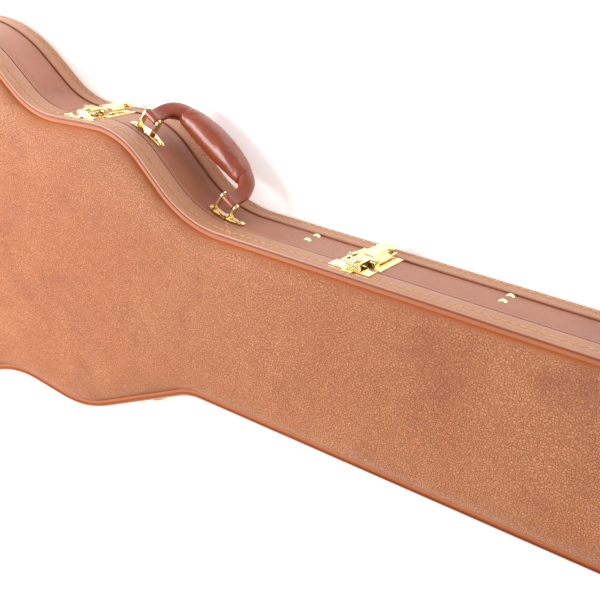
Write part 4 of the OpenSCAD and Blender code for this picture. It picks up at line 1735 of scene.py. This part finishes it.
# ---------------------------------------------------------------- kept CAD nodes


@dataclass
class Hardware:
    """The CAD's metal and boards, which keep their shape and get a finish; the metal also gets rounded edges.
    """

    frame: dict
    materials: Materials
    edge: float = 0.22

    def dress(self) -> None:
        """Gives every CAD node that still shows a finish, by what it is made of."""
        boards = {"base_side_wall": BIRCH, "lid_side_wall": BIRCH, "handle_core": BIRCH,
                  "body_partition": WINE_PLUSH, "head_partition": WINE_PLUSH, "lid_foam": DARK_FOAM,
                  "hinge_base_packing": FIELD, "hinge_lid_packing": BAND}
        for name, node in self.frame["nodes"].items():
            if node.hide_render:
                continue
            finish = boards.get(name, GOLD)
            node.data.materials.clear()
            node.data.materials.append(self.materials[finish])
            if finish is GOLD:
                self.soften(node)
            log.info("%s keeps its CAD shape", name)

    def soften(self, node: Piece) -> None:
        """Rounds a metal node's edges a little, with modifiers that leave its mesh alone.

        Args:
            node: The CAD node's object.
        """
        weld = node.modifiers.new("join", "WELD")
        weld.merge_threshold = 0.002 * MM
        flat = node.modifiers.new("flat_faces", "DECIMATE")
        flat.decimate_type = "DISSOLVE"
        flat.angle_limit = math.radians(2.0)
        bevel = node.modifiers.new("edges", "BEVEL")
        bevel.width = self.edge * MM
        bevel.segments = 2
        bevel.limit_method = "ANGLE"
        bevel.angle_limit = math.radians(35)
        bevel.use_clamp_overlap = True
        bevel.harden_normals = True


# ---------------------------------------------------------------- the studio


@dataclass
class Studio:
    """The camera, the soft lights and the pale floor."""

    camera_at: tuple[float, float, float] = (0.565, 0.4264, 0.8236)
    right: tuple[float, float, float] = (0.817, 0.080, -0.571)
    back: tuple[float, float, float] = (0.500, 0.395, 0.771)
    lens: float = 60.0
    sky: float = 0.50
    key: tuple[tuple[float, float, float], float, float] = ((-1.0, 0.15, 1.3), 0.9, 36.0)
    fill: tuple[tuple[float, float, float], float, float] = ((1.8, -0.6, 2.0), 2.0, 4.0)
    floor_half: float = 6000.0
    floor_z: float = -0.3
    floor_glow: float = 0.5

    def camera(self) -> None:
        """Sets the camera up: right and back are its axes in the case's frame."""
        back = Vector(self.back).normalized()
        right = Vector(self.right)
        right = (right - back * right.dot(back)).normalized()
        up = back.cross(right)
        data = bpy.data.cameras.new("camera")
        data.lens, data.sensor_width = self.lens, 36.0
        data.clip_start, data.clip_end = 0.01, 50.0
        camera = bpy.data.objects.new("camera", data)
        bpy.context.scene.collection.objects.link(camera)
        turn = Matrix((right, up, back)).transposed()
        camera.matrix_world = Matrix.Translation(self.camera_at) @ turn.to_4x4()
        bpy.context.scene.camera = camera

    def light(self, name: str, at: tuple[float, float, float], size: float, power: float) -> None:
        """Adds a square soft light that looks at the case's middle.

        Args:
            name: The light's name.
            at: Where it hangs, in metres.
            size: The length of its side, in metres.
            power: Its power, in watts.
        """
        data = bpy.data.lights.new(name, "AREA")
        data.shape, data.size, data.energy = "SQUARE", size, power
        lamp = bpy.data.objects.new(name, data)
        lamp.location = at
        lamp.rotation_euler = (-Vector(at)).to_track_quat("-Z", "Y").to_euler()
        bpy.context.scene.collection.objects.link(lamp)

    def build(self) -> None:
        """Makes the studio."""
        self.camera()
        scene = bpy.context.scene
        scene.view_settings.view_transform = "Standard"
        world = bpy.data.worlds.new("studio")
        scene.world = world
        world.use_nodes = True
        g = Graph(world.node_tree)
        sky = g.add("ShaderNodeBackground", {"Color": (1, 1, 1, 1), "Strength": self.sky})
        g.add("ShaderNodeOutputWorld", {"Surface": sky.outputs[0]})
        self.light("key_light", *self.key)
        self.light("fill_light", *self.fill)
        corners = [[x * self.floor_half, y * self.floor_half, self.floor_z]
                   for x, y in ((-1, -1), (1, -1), (1, 1), (-1, 1))]
        floor = mesh_object("floor", np.array(corners), [[0, 1, 2, 3]])
        material, g, where = start_material("pale_floor")
        tone = g.mix(g.noise(where, 3.0), rgba((0.93, 0.93, 0.93)), rgba((0.96, 0.96, 0.96)))
        end_material(g, {"Base Color": tone, "Roughness": 0.9, "Emission Color": (1, 1, 1, 1),
                         "Emission Strength": self.floor_glow}, g.noise(where, 60.0), 0.0001, 0.1)
        floor.data.materials.append(material)


# ---------------------------------------------------------------- the whole case


def main() -> None:
    """Builds the case in order."""
    logging.basicConfig(level=logging.INFO, format="%(name)s: %(message)s")
    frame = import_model()
    Studio().build()
    outline = Outline()
    materials = Materials()
    LidCovers(outline, materials).build()
    BaseCovers(outline, materials).build()
    Handle(outline, materials).build()
    Interior(outline, materials).build()
    Hardware(frame, materials).dress()


if __name__ == "__main__":
    main()
